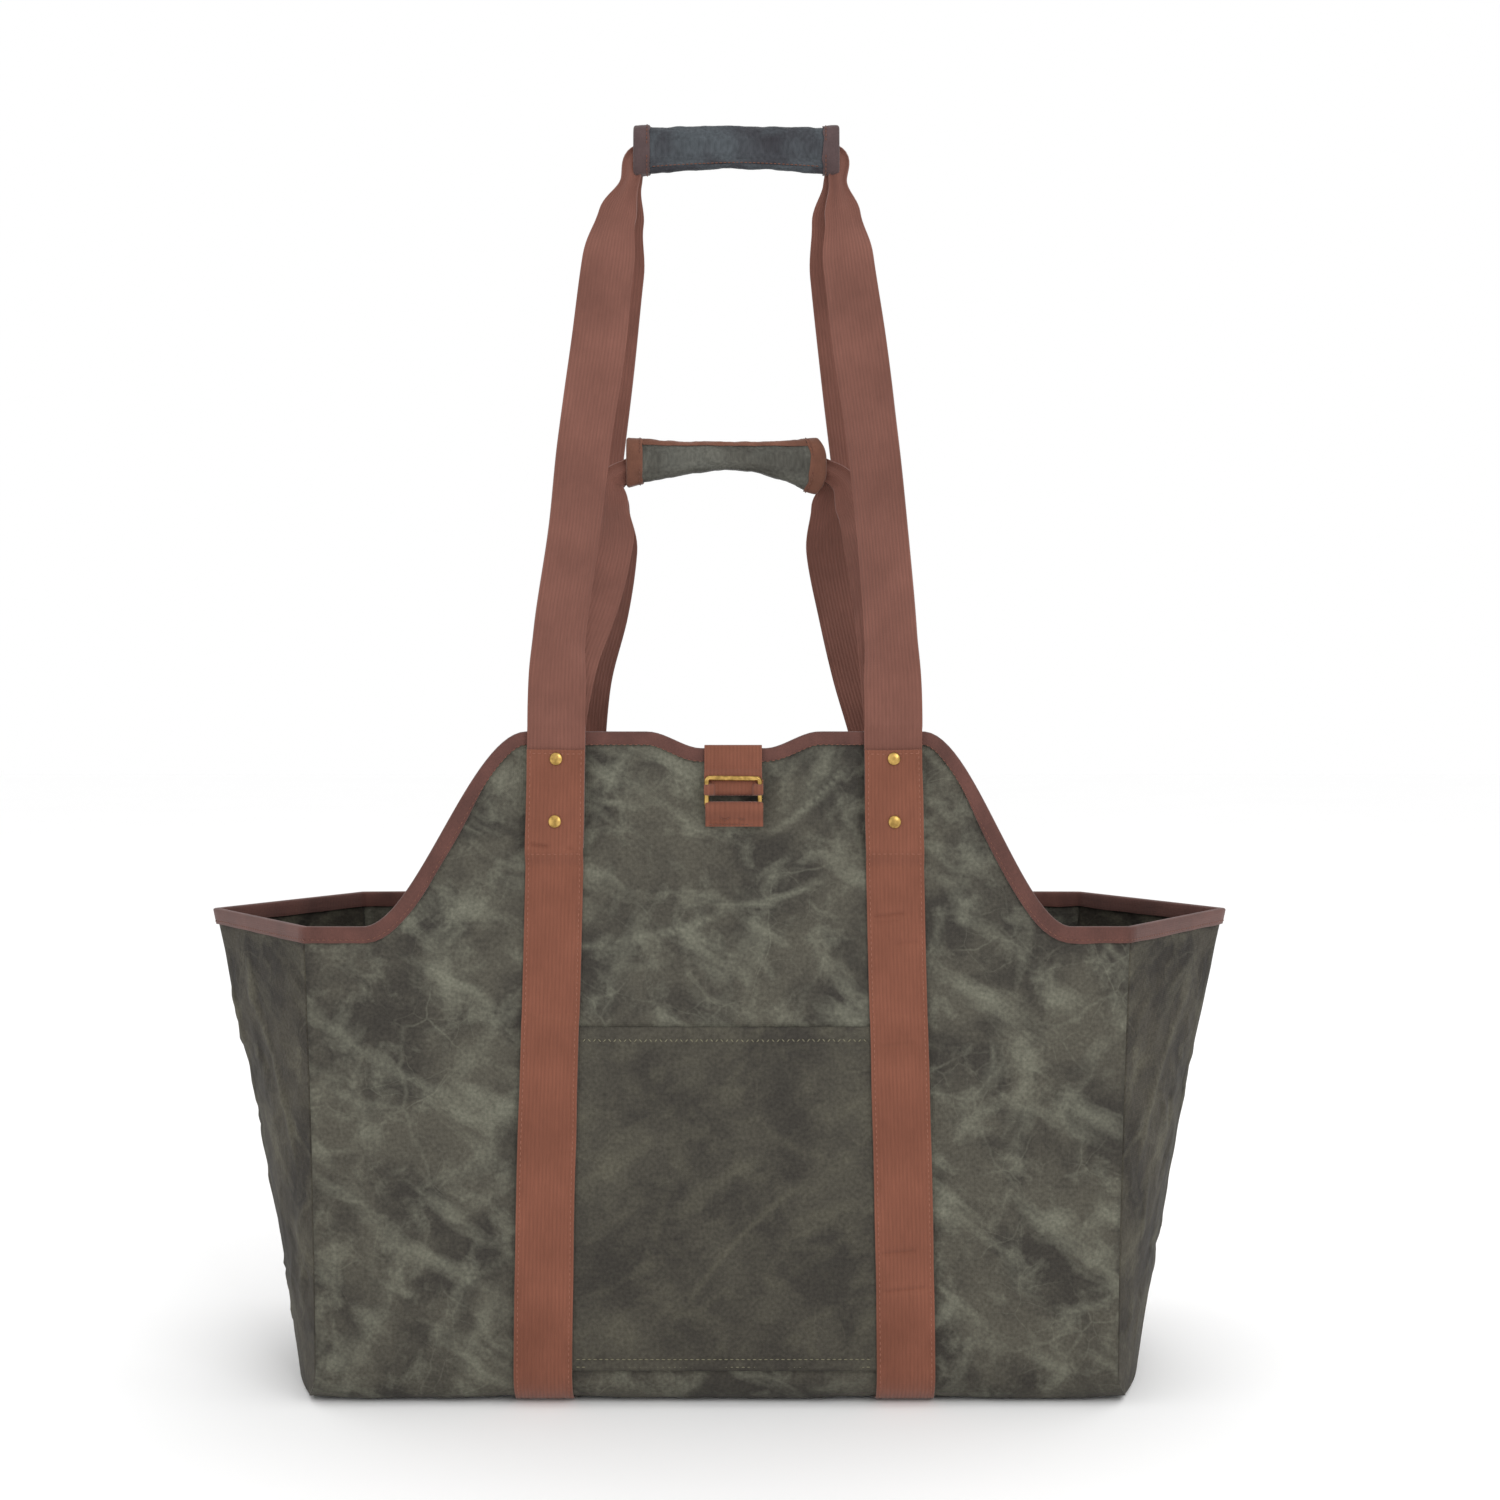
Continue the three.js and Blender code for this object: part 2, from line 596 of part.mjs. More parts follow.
// Flat section of webbing round a centre, given its run and twist; gathered webbing is thicker
function strandSection(centre, run, width, turn, side) {
  const facing = vec(0, side, 0);
  const normal = facing.addScaledVector(run, -facing.dot(run)).normalize();
  normal.applyAxisAngle(run, radians(turn));
  const across = vec().crossVectors(run, normal).multiplyScalar(width / 2);
  const up = normal.clone().multiplyScalar(WEBBING_AREA / width / 2);
  const corner = (a, u) => centre.clone().addScaledVector(across, a).addScaledVector(up, u);
  return [corner(-1, -1), corner(1, -1), corner(1, 1), corner(-1, 1)];
}

// Sections along each span of a strand, and the shares of a grip's half length where it has one
const STRAND_SECTIONS = 3;
const GRIPPED_SHARES = [0.6, 0.35, 0.1];

// Sections of half a handle: up one strap's top, through the air and into the middle of the grip
function halfHandle(side, hand, layer, grip, route) {
  const rimX = strapX(hand, peakOf(side));
  const rimZ = rimHeight(rimX, side) + RIM_LEAD;
  const tailRows = steps(handleTail(side), rimZ, 3);
  const onPanel = tailRows.map((z) => webbingSection(strapX(hand, z), onWall(side, z), layer));
  const middle = layer + WEBBING_T / 2;
  const start = wallPoint(rimX, rimZ, side, middle);
  const lead = wallPoint(strapX(hand, rimZ - RIM_DROP), rimZ - RIM_DROP, side, middle);
  const endX = grip.x + hand * grip.half;
  const gap = (width) => CLEARANCE / 2 + WEBBING_AREA / width / 2;
  const endWidth = GRIP_HEIGHT * GRIPPED_END;
  const end = vec(endX, side * gap(endWidth), grip.z - GRIP_DROP);
  const inside = vec(endX - hand * GRIP_INSET, side * gap(endWidth), grip.z);
  const free = route.map((row) => vec(
    mix(start.x, endX, row.across),
    mix(start.y, end.y, row.in),
    mix(start.z, grip.z, row.at),
  ));
  const knots = [lead, start, ...free, end, inside];
  const curve = new THREE.CatmullRomCurve3(knots, false, 'centripetal');
  const spans = knots.length - 1;
  const widths = [{ at: 0, open: 1, turn: 0 }, ...route, { at: 1, open: endWidth / WEBBING_W, turn: 0 }];
  const sections = [];
  for (let i = STRAND_SECTIONS + 1; i <= spans * STRAND_SECTIONS; i++) {
    const t = i / (spans * STRAND_SECTIONS);
    const centre = curve.getPoint(t);
    const knot = t * spans - 1;
    const index = clamp(Math.floor(knot), 0, widths.length - 2);
    const share = clamp(knot - index, 0, 1);
    const open = mix(widths[index].open, widths[index + 1].open, share);
    const turn = mix(widths[index].turn, widths[index + 1].turn, share) * hand * side;
    centre.y = side * Math.max(Math.abs(centre.y), gap(WEBBING_W * open));
    sections.push(strandSection(centre, curve.getTangent(t), WEBBING_W * open, turn, side));
  }
  const straight = GRIPPED_SHARES.map((share) => {
    const width = gripped(grip, share);
    const centre = vec(grip.x + hand * grip.half * share, side * gap(width), grip.z);
    return strandSection(centre, vec(-hand, 0, 0), width, 0, side);
  });
  return { onPanel, free: [...sections, ...straight] };
}

// Section with its corners put in the order that best follows the one before
function matched(previous, section) {
  const orders = [[0, 1, 2, 3], [1, 0, 3, 2], [3, 2, 1, 0], [2, 3, 0, 1]];
  const cost = (order) => order.reduce((sum, k, i) => sum + section[k].distanceTo(previous[i]), 0);
  const best = orders.reduce((a, b) => (cost(b) < cost(a) ? b : a));
  return best.map((k) => section[k]);
}

// One loop of webbing from strap to strap
function handle(side, layer, grip, routes) {
  const left = halfHandle(side, LEFT, layer, grip, routes.left);
  const right = halfHandle(side, RIGHT, layer, grip, routes.right);
  const raw = [...left.onPanel, ...left.free, ...right.free.reverse(), ...right.onPanel.reverse()];
  const sections = [raw[0]];
  for (const section of raw.slice(1)) sections.push(matched(sections[sections.length - 1], section));
  return barSolid(sections);
}

// Ring of points of a flattened round section
function ovalRing(x, z, halfDepth, halfHeight, power) {
  const count = 12;
  return Array.from({ length: count }, (_, i) => {
    const angle = (i / count) * 2 * Math.PI;
    const bend = (value) => Math.sign(value) * Math.abs(value) ** (2 / power);
    return vec(x, halfDepth * bend(Math.cos(angle)), z + halfHeight * bend(Math.sin(angle)));
  });
}

// Hollow half depth a grip needs round both gathered loops, with room beside them
const HOLLOW_ROOM = 1.2;
const LOOP_CLEARANCE = 1.5 * CLEARANCE;
const gripHollow = (grip, share) => (LOOP_CLEARANCE + WEBBING_AREA / gripped(grip, share)) * HOLLOW_ROOM;

// Ring of points round a grip at a share of its half length, out from its hollow by a wall
function gripRing(grip, share, wall, power) {
  const halfHeight = gripHeight(grip, share) / 2 - GRIP_WALL + wall;
  return ovalRing(grip.x + grip.half * share, grip.z, gripHollow(grip, share) + wall, halfHeight, power);
}

// Tube open at both ends, from shares of a grip's half length
function gripTube(grip, shares, innerWall, outerWall, innerPower, outerPower) {
  const outer = shares.map((share) => gripRing(grip, share, outerWall, outerPower));
  const inner = shares.map((share) => gripRing(grip, share, innerWall, innerPower)).reverse();
  return loopSolid([...outer, ...inner]);
}

const GRIP_SHARES = [-1, -0.8, -0.55, -0.28, 0, 0.28, 0.55, 0.8, 1];
const HOLLOW_POWER = 6;
const OUTER_POWER = 3.4;

// Canvas sleeve round the gathered webbing
const gripSleeve = (grip) => gripTube(grip, GRIP_SHARES, 0, GRIP_WALL, HOLLOW_POWER, OUTER_POWER);

// Tape round one end of a sleeve
function gripBinding(grip, hand) {
  const start = 1 - GRIP_TAPE_W / grip.half;
  const inner = GRIP_WALL + CLEARANCE;
  return gripTube(grip, steps(hand * start, hand, 2), inner, inner + TAPE_T, OUTER_POWER, OUTER_POWER);
}

// Place of a rivet on a strap, and the axes of its pin
function rivetFrame(side, hand, row) {
  const z = strapTop(side) - RIVET_EDGE - row * RIVET_STEP;
  const x = strapX(hand, z);
  const out = wallPoint(x, z, side, 1).sub(wallPoint(x, z, side, 0)).normalize();
  const turn = new THREE.Quaternion().setFromUnitVectors(vec(0, 1, 0), out);
  return { foot: wallPoint(x, z, side, 0), turn };
}

// Turned shape along the pin's axis, moved to a rivet's place
function rivetShape(geometry, { foot, turn }) {
  return geometry.applyQuaternion(turn).translate(foot.x, foot.y, foot.z);
}

// Brass rivet through panel, handles and strap: domed cap, post and flat inner cap
function rivet(frame) {
  const seat = STRAP_OVER_HANDLES + WEBBING_T + CLEARANCE;
  const back = -HALF_T - CLEARANCE;
  const profile = [
    new THREE.Vector2(0, back - RIVET_BACK_T),
    new THREE.Vector2(RIVET_BACK_R, back - RIVET_BACK_T),
    new THREE.Vector2(RIVET_BACK_R, back),
    new THREE.Vector2(RIVET_POST_R, back),
    new THREE.Vector2(RIVET_POST_R, seat),
    new THREE.Vector2(RIVET_CAP_R, seat),
    new THREE.Vector2(RIVET_CAP_R, seat + RIVET_DOME * 0.4),
    new THREE.Vector2(RIVET_CAP_R * 0.7, seat + RIVET_DOME * 0.85),
    new THREE.Vector2(0, seat + RIVET_DOME),
  ];
  return rivetShape(new THREE.LatheGeometry(profile, RIVET_SIDES), frame);
}

// Cutter for the hole that a rivet's post passes through
function rivetHole(frame) {
  const height = 2 * (STRAP_OVER_HANDLES + WEBBING_T + HOLE_OVERRUN);
  const radius = (RIVET_POST_R + CLEARANCE) / Math.cos(Math.PI / RIVET_SIDES);
  return rivetShape(new THREE.CylinderGeometry(radius, radius, height, RIVET_SIDES), frame);
}

// Point beside the front panel at the closure: place across, offset outwards from the cloth's middle, height
const closurePoint = (x, offset, z) => wallPoint(CLOSURE_X + x, z, FRONT, offset);

// Strap folded through a path of offsets and heights beside the front panel
function foldedWebbing(path, widthAt) {
  return path.map((knot, i) => {
    const before = path[Math.max(i - 1, 0)];
    const after = path[Math.min(i + 1, path.length - 1)];
    const run = new THREE.Vector2(after.offset - before.offset, after.z - before.z).normalize();
    const half = widthAt(i) / 2;
    const t = WEBBING_T / 2;
    const place = (x, s) => closurePoint(x, knot.offset - run.y * t * s, knot.z + run.x * t * s);
    return [place(-half, -1), place(half, -1), place(half, 1), place(-half, 1)];
  });
}

// Arc of a fold round a bar, angles in degrees from straight out, positive upwards
function foldArc(offset, z, radius, from, to, count) {
  return steps(from, to, count).map((angle) => ({
    offset: offset + radius * Math.cos(radians(angle)),
    z: z + radius * Math.sin(radians(angle)),
  }));
}

// Where the rings lie: the tail of the closure strap runs behind them, against the panel
const TAIL_MID = STRAP_ON_PANEL + WEBBING_T / 2;
const LOWER_RING_OUT = TAIL_MID + WEBBING_T / 2 + BAR_CLEARANCE + RING_WIRE_R;
const WRAP_RADIUS = LOWER_RING_OUT - TAIL_MID;
const RUN_MID = LOWER_RING_OUT + WRAP_RADIUS;
const UPPER_RING_TOP_OUT = RUN_MID + WEBBING_T / 2 + CLEARANCE + RING_WIRE_R;
const UPPER_RING_FOOT_OUT = LOWER_RING_OUT + 2 * RING_WIRE_R + CLEARANCE;
const RING_FOOT_Z = RING_TOP_Z - TAB_FOLD_DROP;
const CLOSURE_PINCHED_W = RING_INNER_W - 2 * (RING_CORNER_R - RING_WIRE_R + CLEARANCE);

// Strap from the back rim across the mouth, over the front rim, behind one ring and round the other
function closureStrap() {
  const wrapZ = RING_TOP_Z - RING_PITCH;
  const rim = (side) => rimHeight(CLOSURE_X, side);
  const beside = (side, offset, z) => {
    const point = wallPoint(CLOSURE_X, z, side, offset);
    return { y: point.y, z: point.z };
  };
  const tapeTop = CLEARANCE + TAPE_T;
  const bendR = CLEARANCE + WEBBING_T / 2;
  const overTape = TAPE_OUTER + bendR;
  const overRim = (side) => [
    { offset: overTape, z: rim(side) - RIM_DROP },
    ...foldArc(TAPE_OUTER, rim(side) + tapeTop, bendR, 0, 90, 2),
    ...foldArc(-TAPE_OUTER, rim(side) + tapeTop, bendR, 90, CLOSURE_LEAVE, 1),
  ].map(({ offset, z }) => beside(side, offset, z));
  const frontEdge = overRim(FRONT);
  const backEdge = overRim(BACK).reverse();
  const leave = frontEdge[frontEdge.length - 1];
  const arrive = backEdge[0];
  const path = [
    { ...beside(FRONT, TAIL_MID, wrapZ + CLOSURE_TAIL), width: CLOSURE_PINCHED_W },
    { ...beside(FRONT, TAIL_MID, wrapZ + CLOSURE_TAIL / 2), width: CLOSURE_PINCHED_W },
    ...foldArc(LOWER_RING_OUT, wrapZ, WRAP_RADIUS, -180, 0, 8).map(({ offset, z }) => (
      { ...beside(FRONT, offset, z), width: CLOSURE_PINCHED_W })),
    { ...beside(FRONT, RUN_MID, RING_TOP_Z + 2), width: CLOSURE_PINCHED_W },
    ...frontEdge,
    ...steps(0.1, 0.9, 8).map((share) => ({
      y: mix(leave.y, arrive.y, share),
      z: mix(leave.z, arrive.z, share) - CLOSURE_SAG * 4 * share * (1 - share),
    })),
    ...backEdge,
    beside(BACK, overTape, rim(BACK) - CLOSURE_BACK_REACH * 0.6),
    beside(BACK, overTape, rim(BACK) - CLOSURE_BACK_REACH),
  ];
  return barSolid(path.map((knot, i) => {
    const before = path[Math.max(i - 1, 0)];
    const after = path[Math.min(i + 1, path.length - 1)];
    const run = new THREE.Vector2(after.y - before.y, after.z - before.z).normalize();
    const half = (knot.width ?? WEBBING_W) / 2;
    const t = WEBBING_T / 2;
    const place = (x, s) => vec(CLOSURE_X + x, knot.y - run.y * t * s, knot.z + run.x * t * s);
    return [place(-half, -1), place(half, -1), place(half, 1), place(-half, 1)];
  }));
}

// Webbing tab sewn to the front, folded over the feet of both rings
function anchorTab() {
  const reach = (UPPER_RING_FOOT_OUT - LOWER_RING_OUT) / 2;
  const foldR = RING_WIRE_R + BAR_CLEARANCE + WEBBING_T / 2;
  const outer = STRAP_ON_PANEL + WEBBING_T + CLEARANCE + WEBBING_T / 2;
  const path = [
    { offset: TAIL_MID, z: TAB_BOTTOM_Z },
    { offset: TAIL_MID, z: mix(TAB_BOTTOM_Z, RING_FOOT_Z, 0.6) },
    ...foldArc(LOWER_RING_OUT, RING_FOOT_Z, foldR, 180, 90, 3),
    ...foldArc(LOWER_RING_OUT + 2 * reach, RING_FOOT_Z, foldR, 90, 0, 3),
    { offset: LOWER_RING_OUT + 2 * reach + foldR * 0.85, z: RING_FOOT_Z - TAB_FOLD_LENGTH },
    { offset: outer + TAB_SWELL, z: mix(TAB_BOTTOM_Z, RING_FOOT_Z, 0.3) },
    { offset: outer, z: TAB_BOTTOM_Z },
  ];
  return barSolid(foldedWebbing(path, () => CLOSURE_PINCHED_W));
}

// Rectangular wire ring between a foot bar and a top bar
function ring(footOut, topOut, footZ, topZ) {
  const half = RING_INNER_W / 2 + RING_WIRE_R;
  const length = topZ - footZ;
  const corner = Math.min(RING_CORNER_R, length / 2 - 0.1);
  const centres = [[1, 1], [-1, 1], [-1, -1], [1, -1]];
  const path = centres.flatMap(([sx, sz], c) => steps(c * 90, c * 90 + 90, 2).map((angle) => ({
    x: sx * (half - corner) + corner * Math.cos(radians(angle)),
    v: length / 2 + sz * (length / 2 - corner) + corner * Math.sin(radians(angle)),
    angle,
  })));
  const rolls = Array.from({ length: RING_WIRE_SIDES }, (_, i) => (i / RING_WIRE_SIDES) * 360);
  return loopSolid(path.map(({ x, v, angle }) => rolls.map((roll) => {
    const outward = RING_WIRE_R * Math.cos(radians(roll));
    const proud = RING_WIRE_R * Math.sin(radians(roll));
    const share = v / length;
    const px = x + outward * Math.cos(radians(angle));
    const pz = footZ + v + outward * Math.sin(radians(angle));
    return closurePoint(px, mix(footOut, topOut, share) + proud, pz);
  })));
}

const RIVETS = [
  { name: 'rivet_front_left', side: FRONT, hand: LEFT },
  { name: 'rivet_front_right', side: FRONT, hand: RIGHT },
  { name: 'rivet_back_left', side: BACK, hand: LEFT },
  { name: 'rivet_back_right', side: BACK, hand: RIGHT },
];
const rivetFrames = RIVETS.flatMap(({ name, side, hand }) => ['upper', 'lower'].map((row, i) => ({
  name: `${name}_${row}`, side, hand, frame: rivetFrame(side, hand, i),
})));
const holesWhere = (test) => rivetFrames.filter(test).map(({ frame }) => rivetHole(frame));

const matt = (color, roughness) => new THREE.MeshStandardMaterial({ color, roughness, metalness: 0 });
const canvas = matt(CANVAS_COLOUR, 0.85);
const pocketCanvas = matt(POCKET_COLOUR, 0.8);
const bodyWebbing = matt(BODY_WEBBING_COLOUR, 0.9);
const handleWebbing = matt(HANDLE_WEBBING_COLOUR, 0.9);
const tape = matt(TAPE_COLOUR, 0.9);
const gripUpperCanvas = matt(GRIP_UPPER_COLOUR, 0.85);
const gripLowerCanvas = matt(GRIP_LOWER_COLOUR, 0.85);
const brass = new THREE.MeshStandardMaterial({ color: BRASS_COLOUR, roughness: 0.3, metalness: 1 });

// The front stands further out than the back by the pocket, so the bag is centred over the origin
const carrier = new THREE.Group();
carrier.position.y = (STRAP_ON_POCKET - STRAP_ON_PANEL) / 2;
function add(name, geometry, material) {
  const mesh = new THREE.Mesh(geometry, material);
  mesh.name = name;
  carrier.add(mesh);
}

const LONG_FRONT = { left: LONG_FRONT_LEFT, right: LONG_FRONT_RIGHT };
const LONG_BACK = { left: LONG_BACK_LEFT, right: LONG_BACK_RIGHT };
const SHORT_FRONT = { left: SHORT_LEFT, right: SHORT_FRONT_RIGHT };
const SHORT_BACK = { left: SHORT_LEFT, right: SHORT_BACK_RIGHT };
const frontHoles = holesWhere(({ side }) => side === FRONT);
const backHoles = holesWhere(({ side }) => side === BACK);

add('main_panel', cut(mainPanel(), [...frontHoles, ...backHoles]), canvas);
add('gusset_left', gusset(LEFT), canvas);
add('gusset_right', gusset(RIGHT), canvas);
add('rim_binding', rimBinding(), tape);
add('pocket_patch', pocketPatch(), pocketCanvas);
add('body_strap_left', cut(bodyStrap(LEFT), holesWhere(({ hand }) => hand === LEFT)), bodyWebbing);
add('body_strap_right', cut(bodyStrap(RIGHT), holesWhere(({ hand }) => hand === RIGHT)), bodyWebbing);
const longFront = handle(FRONT, LONG_LAYER, UPPER, LONG_FRONT);
const longBack = handle(BACK, LONG_LAYER, UPPER, LONG_BACK);
const shortFront = handle(FRONT, SHORT_LAYER, LOWER, SHORT_FRONT);
const shortBack = handle(BACK, SHORT_LAYER, LOWER, SHORT_BACK);
add('handle_long_front', cut(longFront, frontHoles), handleWebbing);
add('handle_long_back', cut(longBack, backHoles), handleWebbing);
add('handle_short_front', cut(shortFront, frontHoles), handleWebbing);
add('handle_short_back', cut(shortBack, backHoles), handleWebbing);
add('grip_upper', gripSleeve(UPPER), gripUpperCanvas);
add('grip_lower', gripSleeve(LOWER), gripLowerCanvas);
for (const [name, hand] of [['left', LEFT], ['right', RIGHT]]) {
  add(`grip_upper_binding_${name}`, gripBinding(UPPER, hand), tape);
  add(`grip_lower_binding_${name}`, gripBinding(LOWER, hand), tape);
}
for (const { name, frame } of rivetFrames) add(name, rivet(frame), brass);
add('closure_strap', closureStrap(), bodyWebbing);
add('anchor_tab', anchorTab(), bodyWebbing);
add('ring_lower', ring(LOWER_RING_OUT, LOWER_RING_OUT, RING_FOOT_Z, RING_TOP_Z - RING_PITCH), brass);
add('ring_upper', ring(UPPER_RING_FOOT_OUT, UPPER_RING_TOP_OUT, RING_FOOT_Z, RING_TOP_Z), brass);

export default carrier;
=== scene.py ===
import functools
import math
import random

import bmesh
import bpy
import numpy as np
from mathutils import Matrix, Vector, noise


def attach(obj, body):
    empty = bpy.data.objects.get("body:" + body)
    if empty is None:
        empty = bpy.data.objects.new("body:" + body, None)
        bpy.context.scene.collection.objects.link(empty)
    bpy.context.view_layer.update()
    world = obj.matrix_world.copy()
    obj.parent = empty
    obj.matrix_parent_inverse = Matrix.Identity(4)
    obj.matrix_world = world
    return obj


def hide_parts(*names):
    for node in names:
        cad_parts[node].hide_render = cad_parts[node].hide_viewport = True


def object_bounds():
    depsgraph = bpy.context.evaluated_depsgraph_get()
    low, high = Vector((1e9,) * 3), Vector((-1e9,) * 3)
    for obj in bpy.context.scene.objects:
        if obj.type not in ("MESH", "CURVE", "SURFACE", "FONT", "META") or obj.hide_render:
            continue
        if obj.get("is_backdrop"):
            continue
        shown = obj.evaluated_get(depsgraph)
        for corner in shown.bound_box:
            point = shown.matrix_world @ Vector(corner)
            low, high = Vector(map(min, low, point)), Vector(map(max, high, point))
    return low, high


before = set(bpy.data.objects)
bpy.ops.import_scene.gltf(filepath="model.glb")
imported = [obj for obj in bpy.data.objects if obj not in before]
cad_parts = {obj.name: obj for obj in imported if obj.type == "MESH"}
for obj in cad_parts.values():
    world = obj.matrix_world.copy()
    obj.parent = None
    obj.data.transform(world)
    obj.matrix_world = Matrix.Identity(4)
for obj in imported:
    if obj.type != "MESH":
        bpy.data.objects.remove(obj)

bl_info = {
    "name": "Canvas log carrier",
    "version": (1, 0, 0),
    "blender": (4, 5, 0),
    "location": "3D View > Sidebar > Log carrier",
    "description": "Makes the cloth, webbing and brass of an open canvas log carrier",
    "category": "Object",
}

CAD_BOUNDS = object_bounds()
FRONT, BACK = -1, 1
LEFT, RIGHT = -1, 1
SIDES = ((FRONT, "front"), (BACK, "back"))
HANDS = ((LEFT, "left"), (RIGHT, "right"))


def smooth(t):
    """Smooth step from 0 to 1."""
    t = min(max(t, 0.0), 1.0)
    return t * t * (3 - 2 * t)


def mix(a, b, share):
    return a + (b - a) * share


def clamp(value, low, high):
    return min(max(value, low), high)


def steps(first, last, count):
    """Numbers from first to last in equal steps."""
    return [mix(first, last, i / count) for i in range(count + 1)]


def linear(hex_colour):
    """An sRGB hex colour as linear red, green, blue and full alpha."""
    channels = [int(hex_colour[i:i + 2], 16) / 255 for i in (1, 3, 5)]
    return [c / 12.92 if c <= 0.04045 else ((c + 0.055) / 1.055) ** 2.4 for c in channels] + [1.0]


# Sizes of the bag, in metres, and what each is
SIZES = {
    "canvas_thickness": (0.0015, "Thickness of the waxed canvas"),
    "webbing_thickness": (0.0016, "Thickness of the straps and handles"),
    "webbing_width": (0.038, "Width of the straps and handles"),
    "tape_thickness": (0.0012, "Thickness of the binding tape"),
    "tape_width": (0.0095, "Height of the folded tape on the cloth"),
    "clearance": (0.0003, "Gap that stands for a seam"),
    "tape_clearance": (0.0004, "Gap between the tape and the cloth in it"),
    "bar_clearance": (0.0005, "Gap between webbing and a ring's bar"),
    "base_length": (0.52, "Length of the base at its corners"),
    "base_depth": (0.256, "Depth of the base"),
    "base_bow": (0.03, "How far the ends of the base bow out"),
    "bottom_radius": (0.022, "Radius of the bend between a wall and the base"),
    "rim_length": (0.542, "Length of a panel at the rim"),
    "rim_depth": (0.224, "Depth between the panels at the rim"),
    "gusset_reach": (0.084, "How far an end's fold points out at the rim"),
    "belly": (0.007, "How far the panels bulge"),
    "end_rim_height": (0.31, "Height of the rim at the ends"),
    "peak_height": (0.438, "Height of the front rim at the straps"),
    "back_drop": (0.014, "How much lower the back rim is"),
    "scoop_foot": (0.233, "Distance from the middle where the rim starts to rise"),
    "shoulder": (0.131, "Distance from the middle where the rim stops rising"),
    "centre_dip": (0.011, "Dip of the rim under the closure strap"),
    "dip_flat": (0.042, "Length of the level part of the dip"),
    "dip_ramp": (0.036, "Length of each slope of the dip"),
    "strap_spacing": (0.236, "Distance between the straps"),
    "strap_shift": (0.005, "How far the straps sit off the middle"),
    "strap_pinch": (0.007, "How much each strap leans in at the rim"),
    "strap_top_drop": (0.011, "From the rim down to a strap's sewn top"),
    "handle_tail": (0.064, "Length of a handle's end under its strap"),
    "grip_upper_height": (0.846, "Height of the upper grip's middle"),
    "grip_lower_height": (0.626, "Height of the lower grip's middle"),
    "grip_upper_x": (0.012, "Upper grip's distance from the middle"),
    "grip_lower_x": (0.005, "Lower grip's distance from the middle"),
    "grip_upper_length": (0.142, "Length of the upper grip"),
    "grip_lower_length": (0.138, "Length of the lower grip"),
    "grip_size": (0.033, "Height of a grip at its ends"),
    "grip_pinch": (0.013, "How much lower the lower grip is in its middle"),
    "grip_wall": (0.002, "Thickness of a grip's canvas"),
    "grip_tape_width": (0.010, "Width of the tape round a grip's end"),
    "pocket_height": (0.247, "Height of the pocket's upper edge"),
    "hem_width": (0.012, "Width of the pocket's folded hem"),
    "rivet_cap_radius": (0.0042, "Radius of a rivet's domed cap"),
    "rivet_dome": (0.0018, "Height of a rivet's cap"),
    "rivet_back_radius": (0.0035, "Radius of a rivet's inner cap"),
    "rivet_post_radius": (0.0016, "Radius of a rivet's post"),
    "rivet_edge": (0.006, "From a strap's top to its first rivet"),
    "rivet_step": (0.041, "Distance between a strap's two rivets"),
    "closure_x": (0.0105, "Closure strap's distance from the middle"),
    "closure_sag": (0.02, "Sag of the strap across the mouth"),
    "closure_tail": (0.009, "Length of the strap's end behind the rings"),
    "closure_back_reach": (0.05, "Length of the strap down the back"),
    "ring_wire_radius": (0.00165, "Radius of the rings' wire"),
    "ring_inner_width": (0.0314, "Width inside a ring"),
    "ring_corner_radius": (0.002, "Radius of a ring's corners"),
    "ring_top_height": (0.408, "Height of the upper ring's bar"),
    "ring_pitch": (0.0073, "Distance between the two rings' bars"),
    "tab_bottom": (0.377, "Height of the tab's sewn end"),
    "tab_fold_drop": (0.0185, "From the upper bar down to the tab's fold"),
    "crease_depth": (0.0009, "Depth of the creases in the cloth"),
    "sway": (0.0024, "How far the walls wave in and out"),
    "stitch_length": (0.0028, "Length of one stitch"),
    "stitch_gap": (0.0037, "Distance from one stitch to the next"),
}

